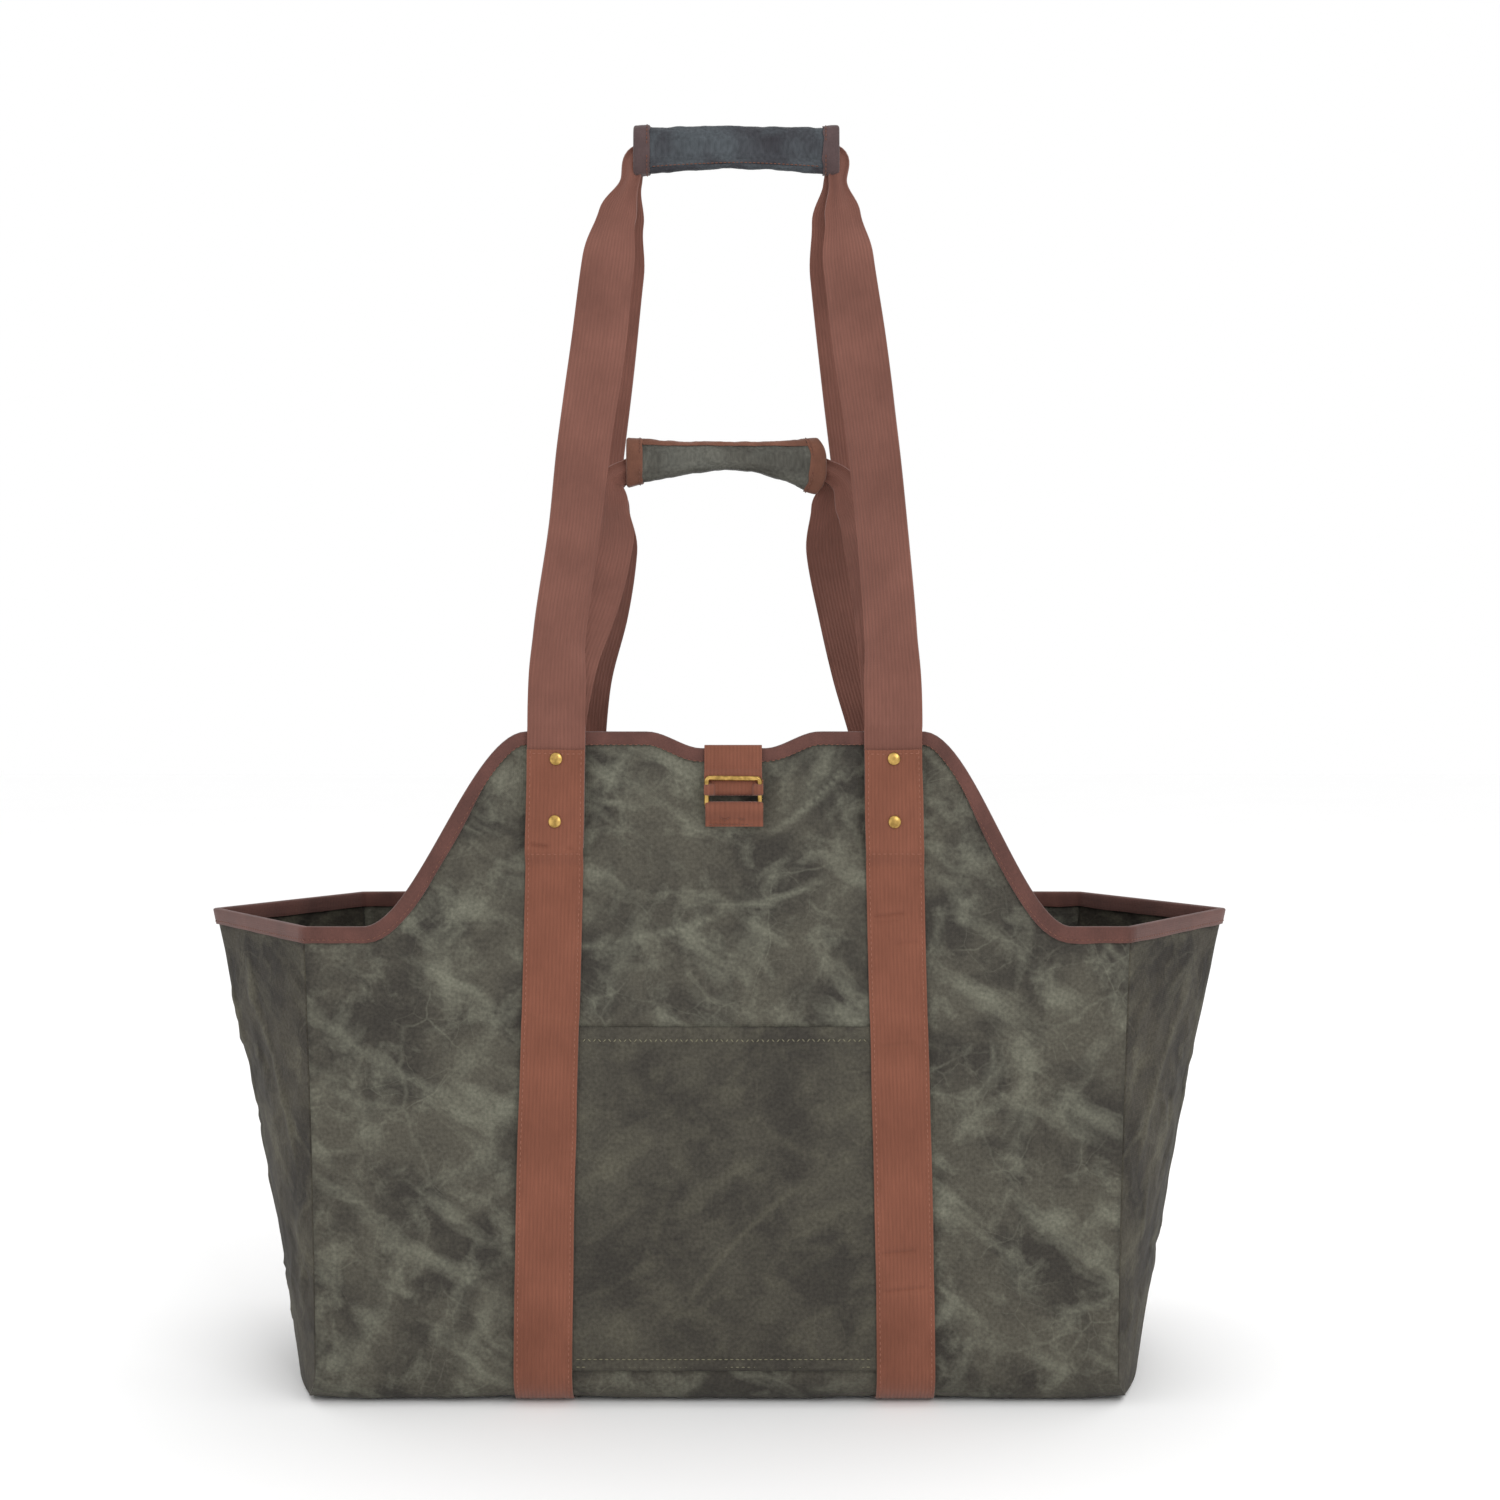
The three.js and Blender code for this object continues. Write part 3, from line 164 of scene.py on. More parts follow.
# Colours of the cloth, webbing, thread and metal, and what each is
COLOURS = {
    "canvas": ("#4f4c43", "Waxed canvas"),
    "canvas_dark": ("#37342f", "Waxed canvas where the wax lies thick"),
    "canvas_pale": ("#767668", "Waxed canvas where it is creased and rubbed"),
    # The ends' colours are the canvas's made darker, as painted shade of the ends, which lie in shade beside the
    # front
    "ends": ("#403c34", "Waxed canvas of the folded ends"),
    "ends_dark": ("#28241f", "The same where the wax lies thick"),
    "ends_pale": ("#646152", "The same where it is creased and rubbed"),
    "pocket": ("#47443c", "Smooth waxed canvas"),
    "pocket_dark": ("#37342f", "Smooth waxed canvas where the wax lies thick"),
    "pocket_pale": ("#6b6858", "Smooth waxed canvas where it is creased"),
    "body_webbing": ("#754635", "Webbing of the straps"),
    "handle_webbing": ("#70483d", "Webbing of the handles"),
    "binding": ("#57362f", "Folded cotton tape of the rim"),
    "grip_binding": ("#6c4535", "Folded cotton tape of the lower grip"),
    "upper_binding": ("#4c3b3b", "Darkened cotton tape of the upper grip"),
    "grip_upper": ("#43484c", "Canvas of the upper grip"),
    "grip_upper_dark": ("#2b292e", "The same where hands have darkened it"),
    "grip_upper_pale": ("#575d62", "The same where it is rubbed"),
    "grip_lower": ("#55554f", "Canvas of the lower grip"),
    "grip_lower_dark": ("#393732", "The same where hands have darkened it"),
    "grip_lower_pale": ("#706f66", "The same where it is rubbed"),
    "thread": ("#8a5845", "Brown sewing thread of the straps"),
    "rim_thread": ("#6b4335", "Dark sewing thread of the tape"),
    "pocket_thread": ("#747059", "Pale sewing thread"),
    "brass": ("#c9a55f", "Brass of the rivets and rings"),
    "floor": ("#ffffff", "Plain pale floor"),
}


def label(key):
    return key.replace("_", " ").capitalize()


def length(key, default, description):
    return bpy.props.FloatProperty(
        name=label(key), description=description, default=default, unit="LENGTH", precision=4)


def colour(key, default, description):
    return bpy.props.FloatVectorProperty(
        name=label(key), description=description, default=linear(default), subtype="COLOR", size=4, min=0, max=1)


class CarrierSizes(bpy.types.PropertyGroup):
    """Sizes of the bag, in metres."""
    __annotations__ = {key: length(key, *row) for key, row in SIZES.items()}


class CarrierColours(bpy.types.PropertyGroup):
    """Colours of the cloth, webbing, thread and metal."""
    __annotations__ = {key: colour(key, *row) for key, row in COLOURS.items()}


# Soft dents in the walls. x is a share of half the rim length, z of the peak height, radius of the rim length
# and depth of the rim depth.
DENTS = (
    {"x": -0.76, "z": 0.47, "radius": 0.085, "depth": 0.022},
    {"x": 0.78, "z": 0.36, "radius": 0.085, "depth": 0.022},
    {"x": -0.02, "z": 0.68, "radius": 0.06, "depth": 0.012},
)

# Route of a strand of webbing from the rim, at 0, to its grip, at 1: the share of the height, the shares of the
# way sideways and inwards, the share of its full width, and its twist in degrees.
LONG_FRONT_LEFT = (
    (0.05, 0.00, 0.03, 1.00, 5),
    (0.15, 0.02, 0.12, 1.00, 30),
    (0.32, 0.19, 0.30, 1.00, 31),
    (0.48, 0.315, 0.47, 1.00, 24),
    (0.65, 0.49, 0.66, 1.00, 12),
    (0.80, 0.61, 0.83, 0.97, 14),
    (0.885, 0.735, 0.93, 0.70, 6),
    (0.945, 0.91, 0.98, 0.34, 0),
)
LONG_FRONT_RIGHT = (
    (0.05, 0.00, 0.03, 1.00, 5),
    (0.15, 0.03, 0.12, 1.00, 28),
    (0.32, 0.16, 0.30, 1.00, 30),
    (0.48, 0.33, 0.47, 1.00, 28),
    (0.65, 0.57, 0.66, 1.00, 16),
    (0.80, 0.78, 0.83, 0.96, 18),
    (0.885, 0.89, 0.93, 0.66, 6),
    (0.945, 0.985, 0.98, 0.32, 0),
)
LONG_BACK_LEFT = (
    (0.05, 0.01, 0.03, 1.00, 0),
    (0.15, 0.06, 0.12, 1.00, 20),
    (0.32, 0.20, 0.30, 1.00, 22),
    (0.48, 0.35, 0.47, 1.00, 16),
    (0.65, 0.54, 0.66, 1.00, 6),
    (0.80, 0.71, 0.83, 0.97, 0),
    (0.885, 0.82, 0.93, 0.72, 0),
    (0.945, 0.93, 0.98, 0.36, 0),
)
LONG_BACK_RIGHT = (
    (0.05, 0.01, 0.03, 1.00, 0),
    (0.15, 0.06, 0.12, 1.00, 20),
    (0.32, 0.25, 0.30, 1.00, 22),
    (0.48, 0.50, 0.47, 1.00, 16),
    (0.65, 0.76, 0.66, 1.00, 6),
    (0.80, 1.00, 0.83, 0.97, 0),
    (0.885, 1.10, 0.93, 0.74, 0),
    (0.945, 1.06, 0.98, 0.38, 0),
)
SHORT_LEFT = (
    (0.24, 0.16, 0.21, 1.00, 10),
    (0.47, 0.48, 0.46, 1.00, 14),
    (0.70, 0.70, 0.74, 0.92, 8),
    (0.84, 0.70, 0.92, 0.66, 0),
    (0.93, 0.72, 0.985, 0.46, 0),
)
SHORT_FRONT_RIGHT = (
    (0.24, 0.06, 0.21, 1.00, 10),
    (0.47, 0.14, 0.46, 1.00, 14),
    (0.68, 0.30, 0.72, 0.90, 8),
    (0.82, 0.50, 0.90, 0.68, 0),
    (0.93, 0.70, 0.985, 0.46, 0),
)
SHORT_BACK_RIGHT = (
    (0.24, 0.34, 0.21, 1.00, 10),
    (0.47, 0.62, 0.46, 1.00, 14),
    (0.70, 0.84, 0.74, 1.00, 8),
    (0.84, 0.86, 0.92, 0.78, 0),
    (0.93, 0.84, 0.985, 0.50, 0),
)

# Width of the gathered webbing in a grip, at its ends and middle, as a share of the grip's height there, and the
# power that squares the grip's section
GRIPPED_END = 0.46
GRIPPED_MIDDLE = 0.74
OUTER_POWER = 3.4

# Where webbing leaves a wall, in metres: the handles' first point above the rim, the point below the rim from
# which webbing is led over it, and the closure strap's point above the upper ring's bar
HANDLE_RISE = 0.003
RIM_LEAD = 0.012
BAR_LEAD = 0.002

# How far creased cloth stays off the floor, in metres
FLOOR_GAP = 0.0002

# How far two points are apart, in metres, where a surface's slope is measured
SLOPE_STEP = 0.001

# Wrinkles pressed across the straps on the front: hand, share of the peak height, first and last share of the
# strap's width, and height out of the webbing, below 0 where it is tucked in.
STRAP_WRINKLES = (
    (-1, 0.830, -0.46, -0.05, -0.0019),
    (-1, 0.830, 0.16, 0.36, -0.0016),
    (-1, 0.577, -0.40, 0.40, 0.0009),
    (1, 0.730, -0.44, 0.20, -0.0016),
    (1, 0.720, -0.44, 0.10, -0.0009),
    (1, 0.685, -0.10, 0.44, -0.0009),
    (1, 0.543, -0.40, 0.30, 0.0008),
    (1, 0.232, -0.45, 0.25, -0.0013),
    (1, 0.175, -0.40, 0.40, -0.0013),
)
WRINKLE_WIDTH = 0.0015
WRINKLE_SLANT = 0.004
WRINKLE_REACH = 0.008


class BagShape:
    """The bag's surfaces, worked out from the sizes, in metres."""

    def __init__(self, sizes):
        for key in SIZES:
            setattr(self, key, getattr(sizes, key))
        self.half_cloth = self.canvas_thickness / 2
        self.base_mid = self.webbing_thickness + self.clearance + self.half_cloth
        self.arc_top = self.base_mid + self.bottom_radius
        self.arc_y = self.base_depth / 2 - self.bottom_radius
        self.tape_inner = self.half_cloth + self.tape_clearance
        self.tape_outer = self.tape_inner + self.tape_thickness
        self.short_layer = self.tape_outer + self.clearance
        self.long_layer = self.short_layer + self.webbing_thickness + self.clearance
        self.over_handles = self.long_layer + self.webbing_thickness + self.clearance
        self.on_panel = self.half_cloth + self.clearance
        self.on_pocket = self.on_panel + self.canvas_thickness + self.clearance
        self.webbing_area = self.webbing_width * self.webbing_thickness
        self.centring = Vector((0, (self.on_pocket - self.on_panel) / 2, 0))
        self.half_rim = self.rim_length / 2
        self.tail_mid = self.on_panel + self.webbing_thickness / 2
        self.lower_ring_out = (
            self.tail_mid + self.webbing_thickness / 2 + self.bar_clearance + self.ring_wire_radius)
        self.wrap_radius = self.lower_ring_out - self.tail_mid
        self.run_mid = self.lower_ring_out + self.wrap_radius
        self.upper_ring_top_out = (
            self.run_mid + self.webbing_thickness / 2 + self.clearance + self.ring_wire_radius)
        self.upper_ring_foot_out = self.lower_ring_out + 2 * self.ring_wire_radius + self.clearance
        self.ring_foot = self.ring_top_height - self.tab_fold_drop
        self.pinched_width = self.ring_inner_width - 2 * (
            self.ring_corner_radius - self.ring_wire_radius + self.clearance)

    def peak(self, side):
        return self.peak_height - (self.back_drop if side == BACK else 0)

    def rim_height(self, x, side):
        """Height of the edge of the front or back panel."""
        shoulder = self.shoulder + math.copysign(self.strap_shift, x)
        rise = smooth((self.scoop_foot - abs(x)) / (self.scoop_foot - shoulder))
        dip = self.centre_dip * (1 - smooth((abs(x - self.closure_x) - self.dip_flat / 2) / self.dip_ramp))
        return mix(self.end_rim_height, self.peak(side), rise) - dip

    def seam_x(self, z):
        """Half length of the bag at a corner seam."""
        return mix(self.base_length, self.rim_length, clamp(z / self.end_rim_height, 0, 1) ** 1.5) / 2

    def wall_y(self, x, z):
        """Distance of a wall's middle surface from the plane between front and back."""
        rise = (z - self.arc_top) / (self.end_rim_height - self.arc_top)
        height = clamp((z - self.arc_top) / (self.peak_height - self.arc_top), 0, 1)
        bulge = self.belly * math.sin(math.pi * height) * (1 - (x / self.half_rim) ** 2)
        dents = 0
        for dent in DENTS:
            far = math.hypot(x - dent["x"] * self.half_rim, z - dent["z"] * self.peak_height)
            far /= dent["radius"] * self.rim_length
            dents += dent["depth"] * self.rim_depth * math.exp(-far * far)
        fade = smooth(height * 6) * (1 - (x / self.half_rim) ** 4)
        return mix(self.base_depth, self.rim_depth, rise) / 2 + bulge - dents * fade

    def swayed_y(self, x, z, side):
        """The same with the slow waves of hanging cloth, which everything sewn to the wall follows."""
        height = clamp((z - self.arc_top) / (self.peak_height - self.arc_top), 0, 1)
        fade = smooth(height * 5) * max(0, 1 - (x / self.half_rim) ** 4)
        wave = noise.noise(Vector((x * 11 + 3, z * 8, side * 4.7)))
        wave += 0.5 * noise.noise(Vector((x * 24 - z * 13, z * 19, side * 9.1)))
        return self.wall_y(x, z) + self.sway * fade * wave

    def wall_point(self, x, z, side, offset):
        """Point at an offset from a wall's middle surface, and the surface's outward direction."""
        step = SLOPE_STEP
        slope_x = (self.swayed_y(x + step, z, side) - self.swayed_y(x - step, z, side)) / (2 * step)
        slope_z = (self.swayed_y(x, z + step, side) - self.swayed_y(x, z - step, side)) / (2 * step)
        normal = Vector((-slope_x, side, -slope_z)).normalized()
        return Vector((x, side * self.swayed_y(x, z, side), z)) + normal * offset, normal

    def body_point(self, x, place, offset):
        """Point on the path round the bag: a place is a wall's height, a bend's angle or a base's depth."""
        kind, side, value = place
        if kind == "wall":
            return self.wall_point(x, value, side, offset)
        if kind == "base":
            return Vector((x, value, self.base_mid - offset)), Vector((0, 0, -1))
        turn = math.radians(value)
        normal = Vector((0, side * math.cos(turn), -math.sin(turn)))
        centre = Vector((x, side * self.arc_y, self.arc_top))
        return centre + normal * (self.bottom_radius + offset), normal

    def base_end_x(self, y):
        return self.base_length / 2 + self.base_bow * (1 - (y / (self.base_depth / 2)) ** 2)

    def panel_end_x(self, place):
        """Half length of the main panel at a place on the path."""
        kind, _, value = place
        inset = self.half_cloth + self.clearance
        if kind == "base":
            return self.base_end_x(value) - inset
        if kind == "wall":
            return self.seam_x(value)
        return mix(self.seam_x(self.arc_top), self.base_end_x(self.arc_y) - inset, smooth(value / 90))

    def body_path(self, front_top, back_top, front_rows, bend_rows, base_rows, back_rows):
        """Places from the front edge, under the base, to the back edge."""
        path = [("wall", FRONT, z) for z in steps(front_top, self.arc_top, front_rows)]
        path += [("bend", FRONT, angle) for angle in steps(0, 90, bend_rows)[1:]]
        path += [("base", FRONT, y) for y in steps(-self.arc_y, self.arc_y, base_rows)[1:-1]]
        path += [("bend", BACK, angle) for angle in steps(90, 0, bend_rows)[:-1]]
        path += [("wall", BACK, z) for z in steps(self.arc_top, back_top, back_rows)]
        return path

    def seam_y(self, z):
        """Half depth of the main panel's end at a height, along which a gusset is sewn."""
        if z >= self.arc_top:
            return self.wall_y(self.seam_x(z), z)
        return self.arc_y + math.sqrt(max(0, self.bottom_radius ** 2 - (self.arc_top - z) ** 2))

    def gusset_x(self, y, z):
        """Middle surface of an end: bowed like the base at the bottom, a sharp fold at the rim."""
        rise = clamp(z / self.end_rim_height, 0, 1.1)
        depth = self.seam_y(z)
        seam = self.seam_x(z) if z >= self.arc_top else self.base_end_x(depth)
        fold = mix(self.base_length / 2 + self.base_bow, self.half_rim + self.gusset_reach, rise)
        across = abs(y) / depth
        bend = mix(1 - across * across, 1 - across, clamp(rise, 0, 1))
        return seam + (fold - seam) * bend

    def gusset_point(self, hand, y, z, offset):
        step = SLOPE_STEP
        inward = -step if y > 0 else step
        slope_y = (self.gusset_x(y + inward, z) - self.gusset_x(y, z)) / inward
        slope_z = (self.gusset_x(y, z + step / 2) - self.gusset_x(y, z - step / 2)) / step
        stretch = math.sqrt(1 + slope_y ** 2 + slope_z ** 2)
        normal = Vector((hand, -slope_y, -slope_z)) / stretch
        return Vector((hand * (self.gusset_x(y, z) + offset * stretch), y, z)), normal

    def strap_x(self, hand, z):
        """Middle line of a strap, drawn in towards the rim."""
        lean = self.strap_pinch * smooth(z / self.peak_height)
        return self.strap_shift + hand * (self.strap_spacing / 2 - lean)

    def strap_top(self, side):
        return self.peak(side) - self.strap_top_drop

    def grip(self, name):
        """Place and sizes of a grip."""
        upper = name == "upper"
        size, pinch = self.grip_size, 0 if upper else self.grip_pinch
        return {
            "x": self.grip_upper_x if upper else self.grip_lower_x,
            "z": self.grip_upper_height if upper else self.grip_lower_height,
            "half": (self.grip_upper_length if upper else self.grip_lower_length) / 2,
            "pinch": pinch,
            "middle_width": (size - pinch) * GRIPPED_MIDDLE * (1 if upper else 0.95),
        }

    def gripped_width(self, grip, share):
        return mix(grip["middle_width"], self.grip_size * GRIPPED_END, smooth(abs(share)))

    def grip_ring(self, grip, share, angle, wall):
        """Point round a grip, out from its hollow by a wall, and the outward direction there."""
        height = self.grip_size - grip["pinch"] * (1 - abs(share) ** 1.5)
        half_height = height / 2 - self.grip_wall + wall
        hollow = (self.clearance * 1.5 + self.webbing_area / self.gripped_width(grip, share)) * 1.2
        half_depth = hollow + wall
        bend = lambda value: math.copysign(abs(value) ** (2 / OUTER_POWER), value)
        y, z = half_depth * bend(math.cos(angle)), half_height * bend(math.sin(angle))
        power = OUTER_POWER - 1
        normal = Vector((0, math.copysign(abs(y / half_depth) ** power, y) / half_depth,
                         math.copysign(abs(z / half_height) ** power, z) / half_height)).normalized()
        return Vector((grip["x"] + grip["half"] * share, y, grip["z"] + z)), normal


def shape_of(context):
    return BagShape(context.scene.carrier_sizes)


def spline(knots, per_span):
    """Points and directions of a centripetal Catmull-Rom curve, with each point's place among the knots."""
    ends = [knots[0] * 2 - knots[1], *knots, knots[-1] * 2 - knots[-2]]
    result = []
    for i in range(len(knots) - 1):
        p0, p1, p2, p3 = ends[i:i + 4]
        d0, d1, d2 = ((b - a).length ** 0.5 for a, b in ((p0, p1), (p1, p2), (p2, p3)))
        t1 = ((p1 - p0) / d0 - (p2 - p0) / (d0 + d1) + (p2 - p1) / d1) * d1
        t2 = ((p2 - p1) / d1 - (p3 - p1) / (d1 + d2) + (p3 - p2) / d2) * d1
        c2, c3 = -3 * p1 + 3 * p2 - 2 * t1 - t2, 2 * p1 - 2 * p2 + t1 + t2
        count = per_span + (i == len(knots) - 2)
        for k in range(count):
            t = k / per_span
            point = p1 + t1 * t + c2 * t ** 2 + c3 * t ** 3
            result.append((point, (t1 + c2 * 2 * t + c3 * 3 * t ** 2).normalized(), i + t))
    return result


# Shared makers of cloth, webbing and stitches

def add_piece(name, bm, material, replaced=(), thickness=None, bevel=None):
    """Turn a bmesh into a finished piece, centred over the floor's middle, that rides on the bag."""
    bmesh.ops.translate(bm, vec=shape_of(bpy.context).centring, verts=bm.verts)
    mesh = bpy.data.meshes.new(name)
    bm.to_mesh(mesh)
    bm.free()
    mesh.shade_smooth()
    mesh.materials.append(MATERIALS[material])
    piece = bpy.data.objects.new(name, mesh)
    bpy.context.scene.collection.objects.link(piece)
    if thickness:
        wall = piece.modifiers.new("Thickness", "SOLIDIFY")
        wall.thickness = thickness
        wall.offset = 0
    if bevel:
        edge = piece.modifiers.new("Soft edge", "BEVEL")
        edge.width = bevel
        edge.segments = 2
        edge.limit_method = "ANGLE"
        edge.angle_limit = math.radians(60)
    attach(piece, "root")
    if replaced:
        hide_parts(*replaced)
    return piece


def woven_grid(columns, rows, place, around=False, looped=False):
    """Grid of cloth whose every point goes where place(i, j) says: a position, the outward direction there, its
    flat position for the UV map and how much it is creased. It is closed across its columns or along its rows
    where the cloth goes around."""
    bm = bmesh.new()
    bmesh.ops.create_grid(bm, x_segments=columns, y_segments=rows, size=1)
    crease = bm.verts.layers.float.new("crease")
    flat = {}
    facing = {}
    bm.verts.index_update()
    for vert in bm.verts:
        i = round((vert.co.x + 1) / 2 * columns)
        j = round((vert.co.y + 1) / 2 * rows)
        vert.co, facing[vert.index], flat[vert.index], vert[crease] = place(i, j)
    uv = bm.loops.layers.uv.new("cloth")
    for face in bm.faces:
        for loop in face.loops:
            loop[uv].uv = flat[loop.vert.index]
    bm.normal_update()
    turned = sum(face.normal.dot(facing[face.verts[0].index]) for face in bm.faces) < 0
    if turned:
        bmesh.ops.reverse_faces(bm, faces=bm.faces[:])
    if around or looped:
        bmesh.ops.remove_doubles(bm, verts=bm.verts[:], dist=1e-6)
    return bm


def stitch_shape(size):
    """One stitch of thread along X, lying on Z = 0."""
    bm = bmesh.new()
    bmesh.ops.create_icosphere(bm, subdivisions=1, radius=1)
    bmesh.ops.scale(bm, vec=(size / 2, size * 0.14, size * 0.12), verts=bm.verts)
    mesh = bpy.data.meshes.new("stitch")
    bm.to_mesh(mesh)
    bm.free()
    return mesh


def sew(bm, stitch, points):
    """Add a stitch at each place: a point, the direction of the seam and the cloth's outward direction."""
    for point, along, outward in points:
        across = outward.cross(along).normalized()
        along = across.cross(outward).normalized()
        place = Matrix((along, across, outward.normalized())).transposed().to_4x4()
        place.translation = point
        stitch.transform(place)
        bm.from_mesh(stitch)
        stitch.transform(place.inverted())


# Creases

class Creases:
    """Long soft folds and short sharp creases of waxed canvas, laid out on its flat cut."""

    def __init__(self, seed, low, high, count, named=()):
        draw = random.Random(seed)
        lines = [(*line, 0.0035, 0.9, 0.6) for line in named]
        for _ in range(count):
            x, y = draw.uniform(low[0], high[0]), draw.uniform(low[1], high[1])
            reach = draw.uniform(0.005, 0.024)
            turn = draw.gauss(0.6, 0.9) if draw.random() < 0.5 else draw.gauss(-0.7, 0.8)
            lines.append((
                x - reach * math.cos(turn), y - reach * math.sin(turn),
                x + reach * math.cos(turn), y + reach * math.sin(turn),
                draw.uniform(0.0022, 0.0055), draw.choice((-1, 1, 1)) * draw.uniform(0.25, 1.0),
                draw.uniform(0.02, 0.42)))
        self.lines = np.array(lines)

    def at(self, flat):
        """Height, as a share of the crease depth, and paleness at flat positions."""
        height, tone = np.zeros(len(flat)), np.zeros(len(flat))
        for x0, y0, x1, y1, width, depth, pale in self.lines:
            start, run = np.array((x0, y0)), np.array((x1 - x0, y1 - y0))
            along = ((flat - start) @ run) / (run @ run)
            bow = 0.05 * np.sqrt(run @ run) * np.sin(np.clip(along, 0, 1) * math.pi)
            off = (flat - start) @ np.array((-run[1], run[0])) / np.sqrt(run @ run) - bow
            taper = np.clip(1 - np.abs(along * 2 - 1) ** 3, 0, 1)
            height += depth * taper * np.exp(-(off / width) ** 2)
            tone += pale * taper * np.exp(-(off / (width * 0.5)) ** 2)
        return height, np.clip(tone, 0, 1)


def crumple(u, v, seed):
    """Slow unevenness of creased cloth, from -1 to 1."""
    value = noise.noise(Vector((u * 28, v * 28, seed)))
    value += 0.5 * noise.noise(Vector((u * 61 + 5, v * 61, seed + 2)))
    ridge = 1 - abs(noise.noise(Vector((u * 20 - 3, v * 20 + 7, seed + 5)))) * 4
    return 0.75 * value + 0.5 * max(ridge, 0) ** 2


def creased(spots, creases, seed, depth, hold):
    """Cloth points moved in and out by their creases: spots hold a position, outward direction and flat
    position, and hold gives how free each is, below 0 where it may only sink."""
    flat = np.array([spot[2] for spot in spots])
    heights, tones = creases.at(flat)
    result = []
    for (point, outward, (u, v)), height, tone, free in zip(spots, heights, tones, hold):
        relief = height + 0.8 * crumple(u, v, seed)
        relief = relief * free if free >= 0 else -abs(relief * free)
        result.append((point + outward * (depth * relief), outward, (u, v), float(tone)))
    return result


def add_canvas(bag, name, material, replaced, columns, spots, hold, creases, seed):
    """Piece of canvas through rows of spots, moved by its creases and kept off the floor."""
    spots = creased(spots, creases, seed, bag.crease_depth, hold)
    for point, _, _, _ in spots:
        point.z = max(point.z, bag.half_cloth + FLOOR_GAP)
    rows = len(spots) // (columns + 1) - 1
    bm = woven_grid(columns, rows, lambda i, j: spots[j * (columns + 1) + i])
    return add_piece(name, bm, material, [replaced], bag.canvas_thickness)


# Materials

def set_inputs(node, inputs):
    """Give a node its inputs; one that is another node's output is linked."""
    for key, value in inputs.items():
        if isinstance(value, bpy.types.NodeSocket):
            node.id_data.links.new(value, node.inputs[key])
        else:
            node.inputs[key].default_value = value


def add_node(tree, kind, inputs, output=0, **settings):
    """Add a node with its settings and inputs, and return one of its outputs."""
    node = tree.nodes.new("ShaderNode" + kind)
    for key, value in settings.items():
        setattr(node, key, value)
    set_inputs(node, inputs)
    return node.outputs[output]


def new_material(name):
    """A new material, the node helper for its tree, and its shader."""
    material = bpy.data.materials.new(name)
    material.use_nodes = True
    tree = material.node_tree
    return material, functools.partial(add_node, tree), tree.nodes["Principled BSDF"]


def scaled(tone, factor):
    """A colour made darker or paler."""
    return [factor * c for c in tone[:3]] + [1.0]


# Spacings of threads and ribs, in metres, drawn about twice as coarse as the real ones so that they show
CANVAS_THREAD = 0.0013
WEBBING_RIB = 0.0025
WEBBING_PICK = 0.0017
TAPE_THREAD = 0.0011


def bands(node, coordinates, spacing, axis, distortion, detail, **more):
    """Even bands across an axis, such as threads, at a spacing in metres."""
    return node("TexWave", {"Vector": coordinates, "Scale": math.pi / (10 * spacing), "Distortion": distortion,
                            "Detail": detail, **more}, "Fac", bands_direction=axis)


def weave_height(node, coordinates, thread):
    """Height of a plain weave: two sets of threads."""
    warp, weft = (bands(node, coordinates, thread, axis, 1.2, 1.0, **{"Detail Scale": 0.4}) for axis in "XY")
    return node("Math", {0: warp, 1: weft}, operation="MULTIPLY")


